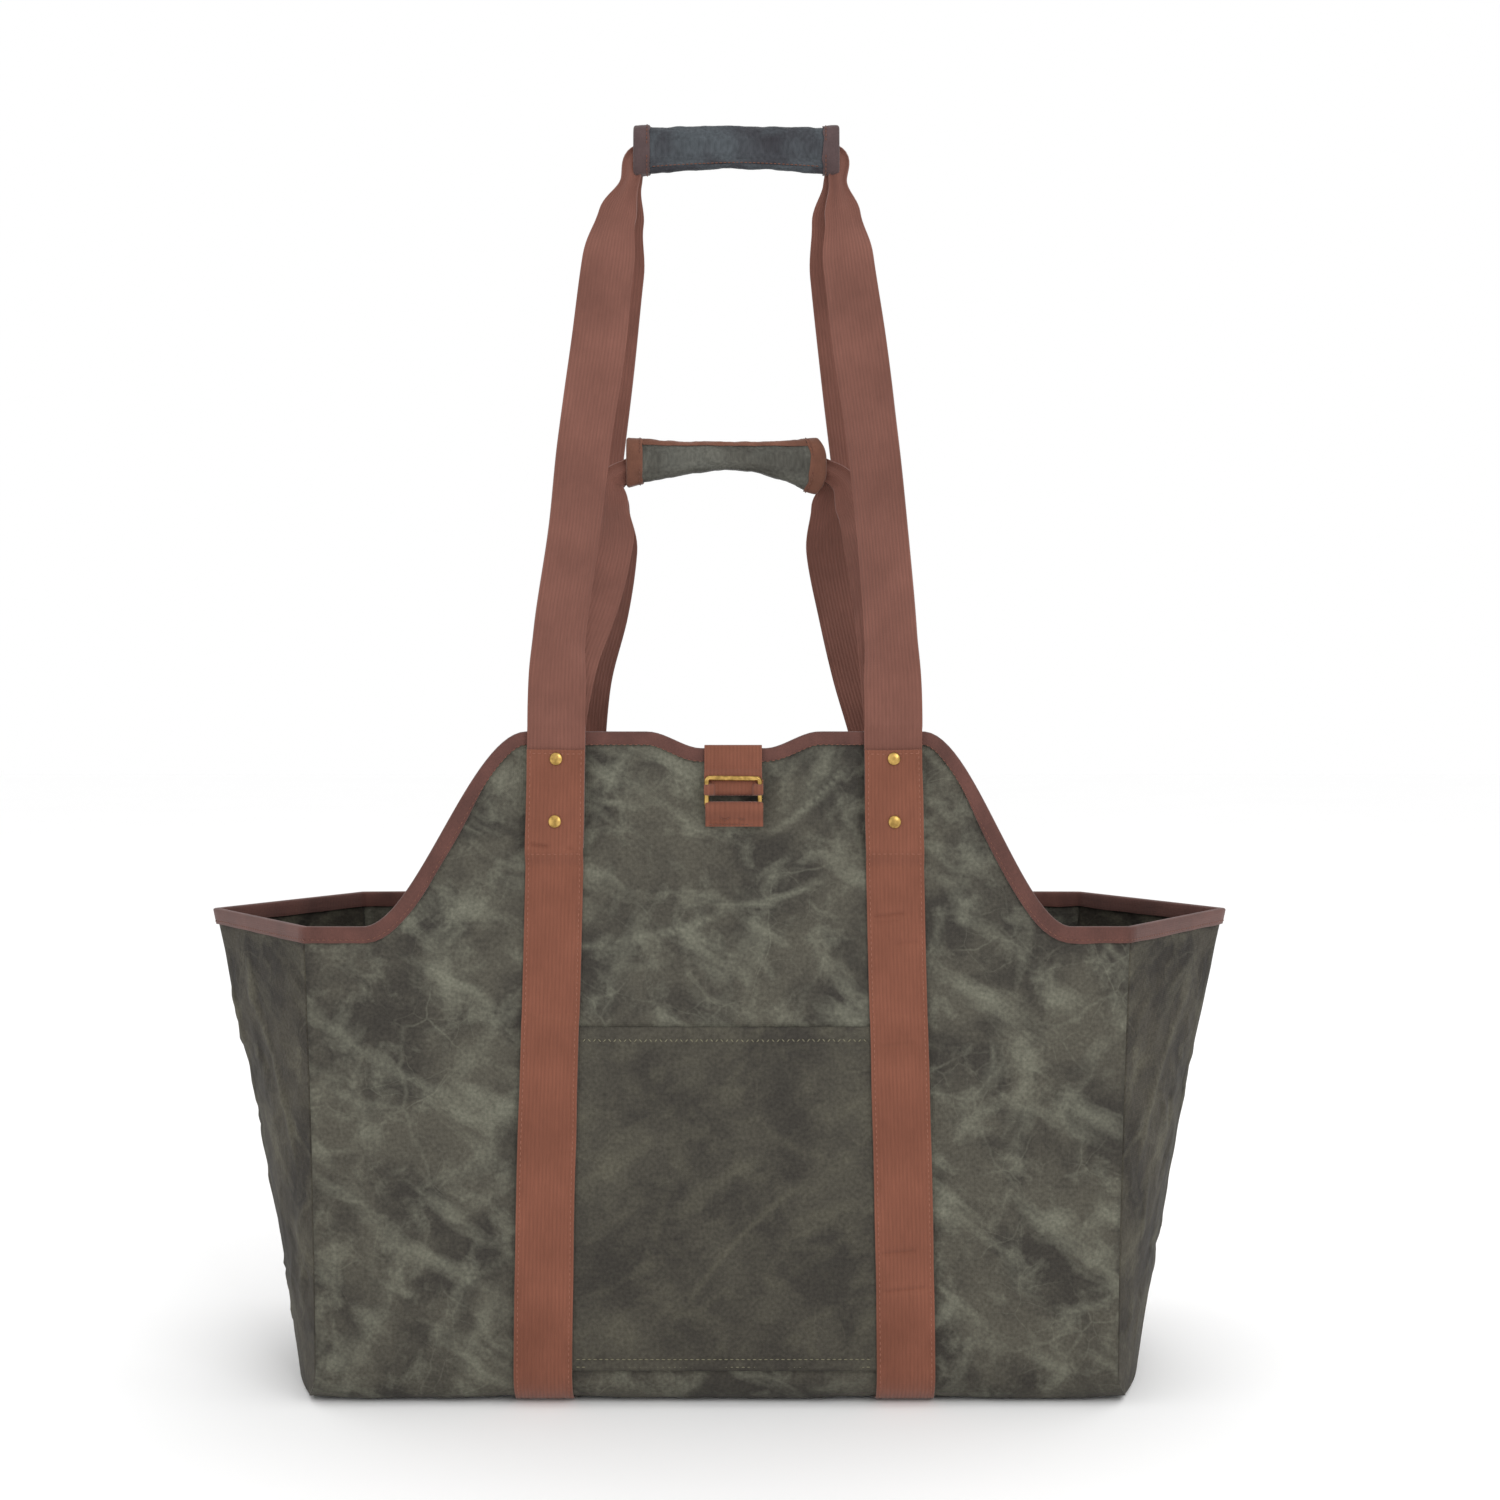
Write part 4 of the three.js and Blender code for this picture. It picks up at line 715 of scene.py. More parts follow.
def waxed_canvas(name, base, dark, pale, creasing, roughness):
    """Waxed cotton canvas: plain woven, dark and mottled with wax, pale and dry along its creases."""
    material, node, shader = new_material(name)
    cloth = node("UVMap", {}, uv_map="cloth")
    bend = node("TexNoise", {"Vector": cloth, "Scale": 24, "Detail": 3}, "Color")
    shift = node("VectorMath", {0: bend, 1: (-0.5, -0.5, 0)})
    bent = node("VectorMath", {0: shift, 1: (0.022, 0.022, 0), 2: cloth}, operation="MULTIPLY_ADD")
    # Wax lies thicker and thinner in clouds of about 45 mm, rubbed pale in patches of about 25 mm
    clouds = node("TexNoise", {"Vector": bent, "Scale": 16, "Detail": 7, "Roughness": 0.6})
    scuffs = node("TexNoise", {"Vector": bent, "Scale": 38, "Detail": 5, "Roughness": 0.6})
    streaks = []
    for lean, along, across in ((0.55, 0.085, 0.022), (-1.15, 0.07, 0.026)):
        leaning = node("Mapping", {"Vector": bent, "Rotation": (0, 0, lean), "Scale": (along, across, 1)},
                       vector_type="TEXTURE")
        streaks.append(node("TexNoise", {"Vector": leaning, "Scale": 1, "Detail": 5}))
    patches = node("TexNoise", {"Vector": cloth, "Scale": 14, "Detail": 3})
    where = node("MapRange", {0: patches, 1: 0.44, 2: 0.66}, interpolation_type="SMOOTHSTEP")
    # Sharp creases meet in stars and cells, here 62 and 27 mm across
    lines = []
    for size, width, strength in ((0.062, 0.016, 0.28), (0.027, 0.024, 0.18)):
        cells = node("TexVoronoi", {"Vector": bent, "Scale": 1 / size, "Randomness": 1.0}, "Distance",
                     feature="DISTANCE_TO_EDGE")
        lines.append(node("MapRange", {0: cells, 1: 0.0, 2: width, 3: strength, 4: 0.0},
                          interpolation_type="SMOOTHSTEP"))
    sharp = node("Math", {0: lines[0], 1: lines[1]}, operation="MAXIMUM")
    faded = node("Math", {0: sharp, 1: where}, operation="MULTIPLY")
    folds = node("Attribute", {}, "Fac", attribute_name="crease")
    pressed = node("Math", {0: folds, 1: faded}, operation="MAXIMUM")
    rubbed = node("Math", {0: pressed, 1: creasing}, operation="MULTIPLY")
    mottle = node("MapRange", {0: clouds, 1: 0.38, 2: 0.61}, interpolation_type="SMOOTHSTEP")
    tone = node("Mix", {0: mottle, 6: list(dark), 7: list(base)}, 2, data_type="RGBA")
    for source, low, high, strength in ((scuffs, 0.52, 0.72, 0.60), (streaks[0], 0.53, 0.74, 0.70),
                                        (streaks[1], 0.56, 0.76, 0.50)):
        bloom = node("MapRange", {0: source, 1: low, 2: high, 3: 0.0, 4: strength * creasing})
        tone = node("Mix", {0: bloom, 6: tone, 7: list(pale)}, 2, data_type="RGBA")
    worn = node("Mix", {0: rubbed, 6: tone, 7: list(pale)}, 2, data_type="RGBA")
    fleck = node("TexNoise", {"Vector": cloth, "Scale": 430, "Detail": 4})
    grain = node("Math", {0: fleck, 1: 1.20, 2: 0.40}, operation="MULTIPLY_ADD")
    raised = node("Bump", {"Strength": 0.4, "Distance": 0.0006, "Height": faded})
    uneven = node("Bump", {"Strength": 0.5, "Distance": 0.004, "Height": scuffs, "Normal": raised})
    set_inputs(shader, {
        "Base Color": node("VectorMath", {0: worn, "Scale": grain}, operation="SCALE"),
        "Roughness": node("MapRange", {0: clouds, 1: 0.3, 2: 0.7, 3: roughness - 0.08, 4: roughness + 0.1}),
        "Specular IOR Level": 0.16, "Sheen Weight": 0.03, "Sheen Roughness": 0.5,
        "Normal": node("Bump", {"Strength": 0.35, "Distance": 0.0003, "Normal": uneven,
                                "Height": weave_height(node, cloth, CANVAS_THREAD)})})
    return material


def cotton_webbing(name, base):
    """Woven cotton webbing: matt, with fine ribs along its length and small picks across them."""
    material, node, shader = new_material(name)
    cloth = node("UVMap", {}, uv_map="cloth")
    ribs = bands(node, cloth, WEBBING_RIB, "X", 0.6, 1.0)
    picks = bands(node, cloth, WEBBING_PICK, "Y", 4.0, 2.0)
    height = node("Math", {0: picks, 1: 0.12, 2: ribs}, operation="MULTIPLY_ADD")
    clouds = node("TexNoise", {"Vector": cloth, "Scale": 22, "Detail": 5})
    stretched = node("Mapping", {"Vector": cloth, "Scale": (900, 60, 1)})
    streaks = node("TexNoise", {"Vector": stretched, "Scale": 1, "Detail": 2})
    pale = [min(1.22 * c + 0.004, 1.0) for c in base[:3]] + [1.0]
    cloudy = node("MapRange", {0: clouds, 1: 0.3, 2: 0.7})
    body = node("Mix", {0: cloudy, 6: scaled(base, 0.9), 7: pale}, 2, data_type="RGBA")
    # Painted shade: the webbing is drawn darker in the low gaps between its ribs and picks
    rib_gap_shade = node("MapRange", {0: height, 1: 0.05, 2: 0.7, 3: 0.34, 4: 0.0})
    shaded = node("Mix", {0: rib_gap_shade, 6: body, 7: scaled(base, 0.72)}, 2, data_type="RGBA")
    grain = node("Math", {0: streaks, 1: 0.3, 2: 0.85}, operation="MULTIPLY_ADD")
    soft = node("Bump", {"Strength": 0.35, "Distance": 0.002, "Height": clouds})
    set_inputs(shader, {
        "Base Color": node("VectorMath", {0: shaded, "Scale": grain}, operation="SCALE"),
        "Roughness": 0.82, "Specular IOR Level": 0.25, "Sheen Weight": 0.2, "Sheen Roughness": 0.45,
        "Normal": node("Bump", {"Strength": 0.5, "Distance": 0.0004, "Height": height, "Normal": soft})})
    return material


def folded_tape(name, base):
    """Cotton binding tape folded over an edge: tight fine weave, a little mottled."""
    material, node, shader = new_material(name)
    cloth = node("UVMap", {}, uv_map="cloth")
    clouds = node("TexNoise", {"Vector": cloth, "Scale": 45, "Detail": 4})
    fleck = node("TexNoise", {"Vector": cloth, "Scale": 800, "Detail": 1})
    mottle = node("MapRange", {0: clouds, 1: 0.3, 2: 0.7})
    body = node("Mix", {0: mottle, 6: scaled(base, 0.75), 7: scaled(base, 1.25)}, 2, data_type="RGBA")
    grain = node("Math", {0: fleck, 1: 0.4, 2: 0.8}, operation="MULTIPLY_ADD")
    soft = node("Bump", {"Strength": 0.4, "Distance": 0.001, "Height": clouds})
    set_inputs(shader, {
        "Base Color": node("VectorMath", {0: body, "Scale": grain}, operation="SCALE"),
        "Roughness": 0.75, "Specular IOR Level": 0.3, "Sheen Weight": 0.15,
        "Normal": node("Bump", {"Strength": 0.35, "Distance": 0.0003, "Normal": soft,
                                "Height": weave_height(node, cloth, TAPE_THREAD)})})
    return material


def sewing_thread(name, base):
    """Twisted sewing thread: matt, with a fine twist along each stitch."""
    material, node, shader = new_material(name)
    place = node("TexCoord", {}, "Object")
    twist = node("TexNoise", {"Vector": place, "Scale": 1400, "Detail": 2})
    set_inputs(shader, {
        "Base Color": node("Mix", {0: twist, 6: scaled(base, 0.7), 7: scaled(base, 1.3)}, 2, data_type="RGBA"),
        "Roughness": 0.7,
        "Normal": node("Bump", {"Strength": 0.3, "Distance": 0.0001, "Height": twist})})
    return material


def tarnished_brass(name, base):
    """Stamped and drawn brass: polished once, now lightly tarnished, darker in spots and finely scratched."""
    material, node, shader = new_material(name)
    place = node("TexCoord", {}, "Object")
    spots = node("TexNoise", {"Vector": place, "Scale": 260, "Detail": 4})
    scratched = node("TexNoise", {"Vector": place, "Scale": 1500, "Detail": 3})
    tarnish = node("MapRange", {0: spots, 1: 0.4, 2: 0.66, 3: 0.0, 4: 0.75})
    set_inputs(shader, {
        "Base Color": node("Mix", {0: tarnish, 6: list(base), 7: linear("#7d6233")}, 2, data_type="RGBA"),
        "Metallic": 1.0,
        "Roughness": node("MapRange", {0: spots, 1: 0.3, 2: 0.7, 3: 0.24, 4: 0.42}),
        "Normal": node("Bump", {"Strength": 0.15, "Distance": 0.0001, "Height": scratched})})
    return material


def floor_paint(name, base):
    """Matt pale floor paint, hardly uneven."""
    material, node, shader = new_material(name)
    place = node("TexCoord", {}, "Object")
    grain = node("TexNoise", {"Vector": place, "Scale": 3.0})
    set_inputs(shader, {
        "Base Color": node("Mix", {0: grain, 6: list(base), 7: scaled(base, 0.985)}, 2, data_type="RGBA"),
        "Roughness": 0.9, "Specular IOR Level": 0.1})
    return material


# Rows of webbing: a row is called with a share of its width, -0.5 to 0.5, and gives a point and the outward
# direction there

def strip_of_rows(rows, width, segments):
    """Strip of webbing through rows, kept untwisted from each row to the next."""
    kept = [rows[0]]
    across = rows[0](0.5)[0] - rows[0](-0.5)[0]
    for row in rows[1:]:
        next_across = row(0.5)[0] - row(-0.5)[0]
        if next_across.dot(across) < 0:
            row = (lambda turned: lambda share: turned(-share))(row)
            next_across = -next_across
        kept.append(row)
        across = next_across
    along = [0.0]
    for before, after in zip(kept, kept[1:]):
        along.append(along[-1] + (after(0)[0] - before(0)[0]).length)

    def place(i, j):
        share = i / segments - 0.5
        point, outward = kept[j](share)
        return point, outward, (share * width, along[j]), 0.0

    return woven_grid(segments, len(kept) - 1, place)


def free_row(centre, run, width, turn, side, full, fold):
    """Row of webbing in the air: its width, its twist, and long folds where it is gathered."""
    facing = Vector((0, side, 0))
    outward = (facing - run * facing.dot(run)).normalized()
    outward.rotate(Matrix.Rotation(math.radians(turn), 3, run))
    across = run.cross(outward)
    gathered = smooth((1 - width / full) * 2)

    def row(share):
        ripple = math.cos(share * 3 * math.pi) * fold * gathered
        cup = 0.0009 * (1 - 4 * share * share) * (1 - gathered)
        return centre + across * (share * width) + outward * (ripple + cup), outward

    return row


def half_handle(bag, side, hand, layer, grip, route):
    """Rows of half a handle: up a strap's top, through the air and into the middle of the grip."""
    middle = layer + bag.webbing_thickness / 2
    width = bag.webbing_width
    rim_x = bag.strap_x(hand, bag.peak(side))
    rim_z = bag.rim_height(rim_x, side) + HANDLE_RISE

    def wall_row(z):
        return lambda share: bag.wall_point(bag.strap_x(hand, z) + share * width, z, side, middle)

    on_panel = [wall_row(z) for z in steps(bag.strap_top(side) - bag.handle_tail, rim_z, 16)]
    start = bag.wall_point(rim_x, rim_z, side, middle)[0]
    lead = bag.wall_point(bag.strap_x(hand, rim_z - RIM_LEAD), rim_z - RIM_LEAD, side, middle)[0]
    end_x = grip["x"] + hand * grip["half"]
    gap = lambda strand: bag.clearance / 2 + bag.webbing_area / strand / 2
    end_width = bag.grip_size * GRIPPED_END
    end = Vector((end_x, side * gap(end_width), grip["z"] - 0.005))
    inside = Vector((end_x - hand * 0.014, side * gap(end_width), grip["z"]))
    knots = [lead, start]
    knots += [Vector((mix(start.x, end_x, across), mix(start.y, end.y, inward), mix(start.z, grip["z"], at)))
              for at, across, inward, _, _ in route]
    knots += [end, inside]
    widths = [(1.0, 0), *((opened, turn) for _, _, _, opened, turn in route), (end_width / width, 0)]
    free = []
    for centre, run, knot in spline(knots, 9):
        if knot <= 1.0:
            continue
        index = clamp(int(knot - 1), 0, len(widths) - 2)
        share = smooth(clamp(knot - 1 - index, 0, 1))
        opened = mix(widths[index][0], widths[index + 1][0], share)
        turn = mix(widths[index][1], widths[index + 1][1], share) * hand * side
        centre.y = side * max(abs(centre.y), gap(width * opened))
        free.append(free_row(centre, run, width * opened, turn, side, width, 0.0010))
    for share in (0.6, 0.35, 0.1):
        strand = bag.gripped_width(grip, share) * 0.85
        lift = 0.0036 * (1 - share ** 1.3)
        centre = Vector((grip["x"] + hand * grip["half"] * share, side * gap(strand), grip["z"] + lift))
        free.append(free_row(centre, Vector((-hand, 0, 0)), strand, 0, side, width, 0.0008))
    return on_panel, free


def path_rows(knots, middle_at, width_at, lift_at=lambda i: 0.0, narrow=1.0):
    """Rows across a path of depths and heights, with the webbing square to it. Outside the narrow part of its
    width the webbing is lifted towards the front, over what it is threaded through."""
    rows = []
    for i, (y, z) in enumerate(knots):
        before, after = knots[max(i - 1, 0)], knots[min(i + 1, len(knots) - 1)]
        run = Vector((0, after[0] - before[0], after[1] - before[1])).normalized()
        outward = Vector((0, -run.z, run.y))

        def row(share, y=y, z=z, outward=outward, middle=middle_at(i), width=width_at(i), lift=lift_at(i)):
            beside = smooth((abs(share * width) - narrow / 2 + 0.0042) / 0.0036)
            return Vector((middle + share * width, y - lift * beside, z)), outward

        rows.append(row)
    return rows


def arc(offset, z, radius, first, last, count):
    """Offsets and heights round a fold; the angles are in degrees from straight out, positive upwards."""
    return [(offset + radius * math.cos(math.radians(angle)), z + radius * math.sin(math.radians(angle)))
            for angle in steps(first, last, count)]


def add_webbing(bag, name, material, replaced, rows, width, segments):
    """Piece of webbing through rows."""
    add_piece(f"webbing_{name}", strip_of_rows(rows, width, segments), material, [replaced],
              bag.webbing_thickness, bevel=0.0004)


# Operators: one for each piece or group of like pieces

class PieceOperator(bpy.types.Operator):
    """Shared settings of the operators that make a piece"""
    bl_idname = "log_carrier.piece"
    bl_label = "Piece"
    bl_options = {"REGISTER", "UNDO"}


# The camera is level, 1.5 m in front of the bag's front, with its frame shifted down: sensor width in mm, focal
# length and shift in pixels of the photograph, and place in metres
SENSOR = 36
FRAME_PIXELS = 1500
FOCAL_PIXELS = 2290
HORIZON_PIXELS = -92
EYE = (0.0216, -1.618, 0.488)

# Lights: name, place, size and power, all turned to one point of the bag
LIGHTS = (
    ("key_light", (1.3, -2.3, 2.0), 1.6, 24),
    ("fill_light", (-2.2, -2.0, 1.2), 2.0, 5),
    ("top_light", (0.2, 1.2, 2.6), 1.6, 8),
)
LIT_POINT = (0, 0, 0.35)


class LOGCARRIER_OT_stage(PieceOperator):
    """Plain pale floor, soft studio light and the camera"""
    bl_idname = "log_carrier.stage"
    bl_label = "Stage"

    def execute(self, context):
        scene = context.scene
        bm = bmesh.new()
        bmesh.ops.create_grid(bm, x_segments=4, y_segments=4, size=8)
        mesh = bpy.data.meshes.new("floor")
        bm.to_mesh(mesh)
        bm.free()
        floor = bpy.data.objects.new("floor", mesh)
        scene.collection.objects.link(floor)
        mesh.materials.append(MATERIALS["floor"])
        floor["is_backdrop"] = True
        world = bpy.data.worlds.new("studio")
        world.use_nodes = True
        background = world.node_tree.nodes["Background"]
        background.inputs["Color"].default_value = (1.0, 1.0, 1.0, 1.0)
        background.inputs["Strength"].default_value = 1.0
        scene.world = world
        scene.view_settings.view_transform = "Standard"
        for name, place, size, power in LIGHTS:
            light = bpy.data.lights.new(name, "AREA")
            light.size = size
            light.energy = power
            lamp = bpy.data.objects.new(name, light)
            lamp.location = place
            lamp.rotation_euler = (Vector(LIT_POINT) - Vector(place)).to_track_quat("-Z", "Y").to_euler()
            scene.collection.objects.link(lamp)
        camera_data = bpy.data.cameras.new("camera")
        camera_data.sensor_fit = "HORIZONTAL"
        camera_data.sensor_width = SENSOR
        camera_data.lens = SENSOR * FOCAL_PIXELS / FRAME_PIXELS
        camera = bpy.data.objects.new("camera", camera_data)
        camera.location = EYE
        camera.rotation_euler = (math.radians(90), 0, 0)
        camera_data.shift_y = HORIZON_PIXELS / FRAME_PIXELS
        scene.collection.objects.link(camera)
        scene.camera = camera
        return {"FINISHED"}


class LOGCARRIER_OT_main_panel(PieceOperator):
    """Canvas that makes the front, the base and the back"""
    bl_idname = "log_carrier.main_panel"
    bl_label = "Main panel"

    def execute(self, context):
        bag = shape_of(context)
        columns, front_rows, bend_rows, base_rows, back_rows = 166, 128, 8, 24, 100
        quarter = bag.bottom_radius * math.pi / 2
        paths = [bag.body_path(bag.rim_height(u * bag.half_rim, FRONT), bag.rim_height(u * bag.half_rim, BACK),
                               front_rows, bend_rows, base_rows, back_rows) for u in steps(-1, 1, columns)]
        rows = len(paths[0]) - 1

        def flat_length(place):
            kind, side, value = place
            if kind == "wall":
                return -(value - bag.arc_top) if side == FRONT else 2 * (quarter + bag.arc_y) + value - bag.arc_top
            if kind == "base":
                return quarter + bag.arc_y + value
            turned = quarter * value / 90
            return turned if side == FRONT else 2 * (quarter + bag.arc_y) - turned

        def freedom(x, place, end, rim):
            """How free the cloth is to crease: not under what is sewn to it, nor along its seams."""
            kind, side, value = place
            z = value if kind == "wall" else 0
            beside = min(abs(x - bag.strap_x(hand, z)) for hand in (LEFT, RIGHT)) - bag.webbing_width / 2
            free = smooth((beside - 0.001) / 0.008) * smooth((end - abs(x)) / 0.010)
            if kind != "wall":
                return free * 0.8
            free *= mix(0.25, 1, smooth((rim - z - bag.tape_width) / 0.014))
            if side == FRONT:
                tab = max(abs(x - bag.closure_x) - 0.019, bag.tab_bottom - 0.003 - z)
                free *= smooth(tab / 0.01)
                if bag.strap_x(LEFT, z) < x < bag.strap_x(RIGHT, z) and z < bag.pocket_height + 0.002:
                    return -0.5 * free
            return free

        spots, hold = [], []
        for j in range(rows + 1):
            for i, u in enumerate(steps(-1, 1, columns)):
                place = paths[i][j]
                end = bag.panel_end_x(place) + bag.half_cloth
                x = u * end
                point, outward = bag.body_point(x, place, 0)
                if place[0] != "wall":
                    beside = min(abs(x - bag.strap_x(hand, 0)) for hand in (LEFT, RIGHT)) - bag.webbing_width / 2
                    low = smooth(beside / 0.05) * smooth((end - abs(x)) / 0.03)
                    point.z -= 0.0014 * low * (1 if place[0] == "base" else smooth(place[2] / 60))
                spots.append((point, outward, (x, flat_length(place))))
                hold.append(freedom(x, place, end, paths[i][0][2] if place[1] == FRONT else paths[i][-1][2]))
        # The long pale diagonal across the front and the shorter one beside the closure, then the random ones
        named = ((-0.0675, -0.278, 0.0118, -0.2997), (0.0118, -0.2997, 0.0747, -0.3205),
                 (0.0308, -0.3454, 0.0884, -0.3953), (-0.085, -0.372, -0.043, -0.366))
        creases = Creases(11, (-0.275, -0.41), (0.275, 0.70), 460, named)
        panel = add_canvas(bag, "canvas_main_panel", "canvas", "main_panel", columns, spots, hold,
                           creases, 2.0)
        return {"FINISHED"}


class LOGCARRIER_OT_gussets(PieceOperator):
    """Canvas ends with a fold down the middle that points outwards"""
    bl_idname = "log_carrier.gussets"
    bl_label = "Ends"

    def execute(self, context):
        bag = shape_of(context)
        inset = bag.half_cloth * 0.4
        radius = bag.bottom_radius - inset
        columns, wall_rows, bend_rows = 84, 96, 12
        rows = [(z, bag.seam_y(z) - inset) for z in steps(bag.end_rim_height, bag.arc_top, wall_rows)]
        rows += [(bag.arc_top - radius * math.sin(math.radians(angle)),
                  bag.arc_y + radius * math.cos(math.radians(angle))) for angle in steps(0, 90, bend_rows)[1:]]
        for hand, name, seed in ((LEFT, "left", 23), (RIGHT, "right", 31)):
            spots, hold = [], []
            for z, reach in rows:
                for share in steps(-1, 1, columns):
                    point, outward = bag.gusset_point(hand, share * reach, z, 0)
                    spots.append((point, outward, (share * reach * 1.1, z)))
                    free = smooth((1 - abs(share)) * reach / 0.012)
                    free *= smooth((z - 0.012) / 0.03)
                    hold.append(free * mix(0.3, 1.5, smooth((bag.end_rim_height - z - bag.tape_width) / 0.02)))
            # A pale slanting crease, and the fold down the middle
            named = ((-0.115, 0.14, -0.03, 0.27), (0.001, 0.03, -0.001, 0.29))
            creases = Creases(seed, (-0.13, 0.0), (0.13, 0.31), 95, named)
            # The ends take the darker canvas colours, which are painted shade
            end = add_canvas(bag, f"canvas_end_{name}", "ends", f"gusset_{name}", columns, spots, hold,
                             creases, seed * 0.37)
        return {"FINISHED"}


class LOGCARRIER_OT_pocket(PieceOperator):
    """Canvas patch between the straps, with a folded hem along its top"""
    bl_idname = "log_carrier.pocket"
    bl_label = "Pocket"

    def execute(self, context):
        bag = shape_of(context)
        columns, rows = 110, 110
        spots, hold = [], []
        for z in steps(bag.arc_top, bag.pocket_height, rows):
            for share in steps(0, 1, columns):
                x = mix(bag.strap_x(LEFT, z), bag.strap_x(RIGHT, z), share)
                hem = smooth((z - bag.pocket_height + bag.hem_width) / 0.0015)
                edge = smooth((z - bag.pocket_height + 0.0015) / 0.0015)
                beside = min(share, 1 - share) * bag.strap_spacing - bag.webbing_width / 2
                open_cloth = smooth((beside - 0.001) / 0.01)
                offset = bag.on_panel + bag.half_cloth + open_cloth * (0.0006 * hem - 0.0004 * edge)
                low = 0.0006 * (1 - smooth((z - bag.arc_top - 0.004) / 0.002))
                point, outward = bag.wall_point(x, z, FRONT, offset + low * open_cloth)
                spots.append((point, outward, (x, z)))
                hold.append(0.45 * open_cloth * (1 - 0.8 * hem))
        creases = Creases(5, (-0.10, 0.03), (0.11, 0.23), 26, ((-0.025, 0.06, 0.06, 0.15),))
        patch = add_canvas(bag, "canvas_pocket", "pocket", "pocket_patch", columns, spots, hold,
                           creases, 8.0)
        return {"FINISHED"}


class LOGCARRIER_OT_rim_binding(PieceOperator):
    """Brown tape folded over the whole rim"""
    bl_idname = "log_carrier.rim_binding"
    bl_label = "Rim binding"

    def execute(self, context):
        bag = shape_of(context)
        middle = (bag.tape_inner + bag.tape_outer) / 2
        top = bag.clearance + bag.tape_thickness / 2
        width = bag.tape_width
        profile = [(middle, width), (middle, width * 0.66), (middle, width * 0.33), (middle, 0)]
        profile += [(middle * math.cos(math.radians(angle)), -top * math.sin(math.radians(angle)))
                    for angle in steps(0, 180, 8)[1:-1]]
        profile += [(-middle, 0), (-middle, width * 0.33), (-middle, width * 0.66), (-middle, width)]
        stations = rim_stations(bag, 150, 44)

        def place(i, j):
            offset, depth = profile[i]
            wander = 1 + 0.07 * noise.noise(Vector((j * 0.21, 3.0, math.copysign(1, offset))))
            high = stations[j % len(stations)](offset, 0)[0].z
            wander *= 1 - 0.22 * smooth((high - 0.37) / 0.05)
            point, outward = stations[j % len(stations)](offset, depth * wander if depth > 0 else depth)
            side = outward * math.copysign(1, offset)
            along = j * 0.0045
            return point, side, (i * 0.0025, along), 0.0

        bm = woven_grid(len(profile) - 1, len(stations), place, looped=True)
        add_piece("tape_rim", bm, "binding", ["rim_binding"], bag.tape_thickness,
                  bevel=0.0003)
        return {"FINISHED"}


def rim_stations(bag, panel_count, end_count):
    """Places round the rim, each called with an offset from the cloth and a depth below its edge."""
    def panel_station(u, side):
        x = u * bag.half_rim
        rise = bag.rim_height(x + SLOPE_STEP, side) - bag.rim_height(x - SLOPE_STEP, side)
        down = Vector((rise / (2 * SLOPE_STEP), 0, -1)).normalized()
        z = bag.rim_height(x, side)
        return lambda offset, depth: bag.wall_point(x + down.x * depth, z + down.z * depth, side, offset)

    def end_station(share, hand):
        def place(offset, depth):
            z = bag.end_rim_height - depth
            reach = bag.seam_y(z)
            y = share * (reach + offset) if abs(share) > 0.999 else share * reach
            return bag.gusset_point(hand, y, z, offset)
        return place

    inner = steps(-1, 1, panel_count)[1:-1]
    ends = steps(-1, 1, end_count)
    return [
        *(panel_station(u, FRONT) for u in inner), *(end_station(share, RIGHT) for share in ends),
        *(panel_station(u, BACK) for u in reversed(inner)),
        *(end_station(share, LEFT) for share in reversed(ends)),
    ]


class LOGCARRIER_OT_body_straps(PieceOperator):
    """Webbing down the front, under the base and up the back"""
    bl_idname = "log_carrier.body_straps"
    bl_label = "Straps"

    def execute(self, context):
        bag = shape_of(context)
        for hand, name in HANDS:
            rows = [strap_row(bag, hand, place, offset + bag.webbing_thickness / 2)
                    for place, offset in strap_places(bag, 420, 10, 16)]
            add_webbing(bag, f"strap_{name}", "body_webbing", f"body_strap_{name}", rows, bag.webbing_width, 22)
        return {"FINISHED"}


def strap_offset(bag, side, z):
    """Height of a strap's underside over the wall's middle: over the handles' ends, the cloth or the pocket."""
    tail = bag.strap_top(side) - bag.handle_tail - 0.001
    lifted = smooth((z - tail + 0.012) / 0.012)
    low = bag.on_panel
    if side == FRONT:
        low = mix(bag.on_pocket, bag.on_panel, smooth((z - bag.pocket_height - 0.001) / 0.008))
    return mix(low, bag.over_handles, lifted)


def strap_places(bag, wall_rows, bend_rows, base_rows):
    """Places and offsets along a strap, from the front top to the back top."""
    result = [(("wall", FRONT, z), strap_offset(bag, FRONT, z))
              for z in steps(bag.strap_top(FRONT), bag.arc_top, wall_rows)]
    result += [(("bend", FRONT, angle), mix(bag.on_pocket, bag.on_panel, clamp(angle / 45, 0, 1)))
               for angle in steps(0, 90, bend_rows)[1:]]
    result += [(("base", FRONT, y), bag.on_panel) for y in steps(-bag.arc_y, bag.arc_y, base_rows)[1:-1]]
    result += [(("bend", BACK, angle), bag.on_panel) for angle in steps(90, 0, bend_rows)[:-1]]
    result += [(("wall", BACK, z), strap_offset(bag, BACK, z))
               for z in steps(bag.arc_top, bag.strap_top(BACK), wall_rows)]
    return result


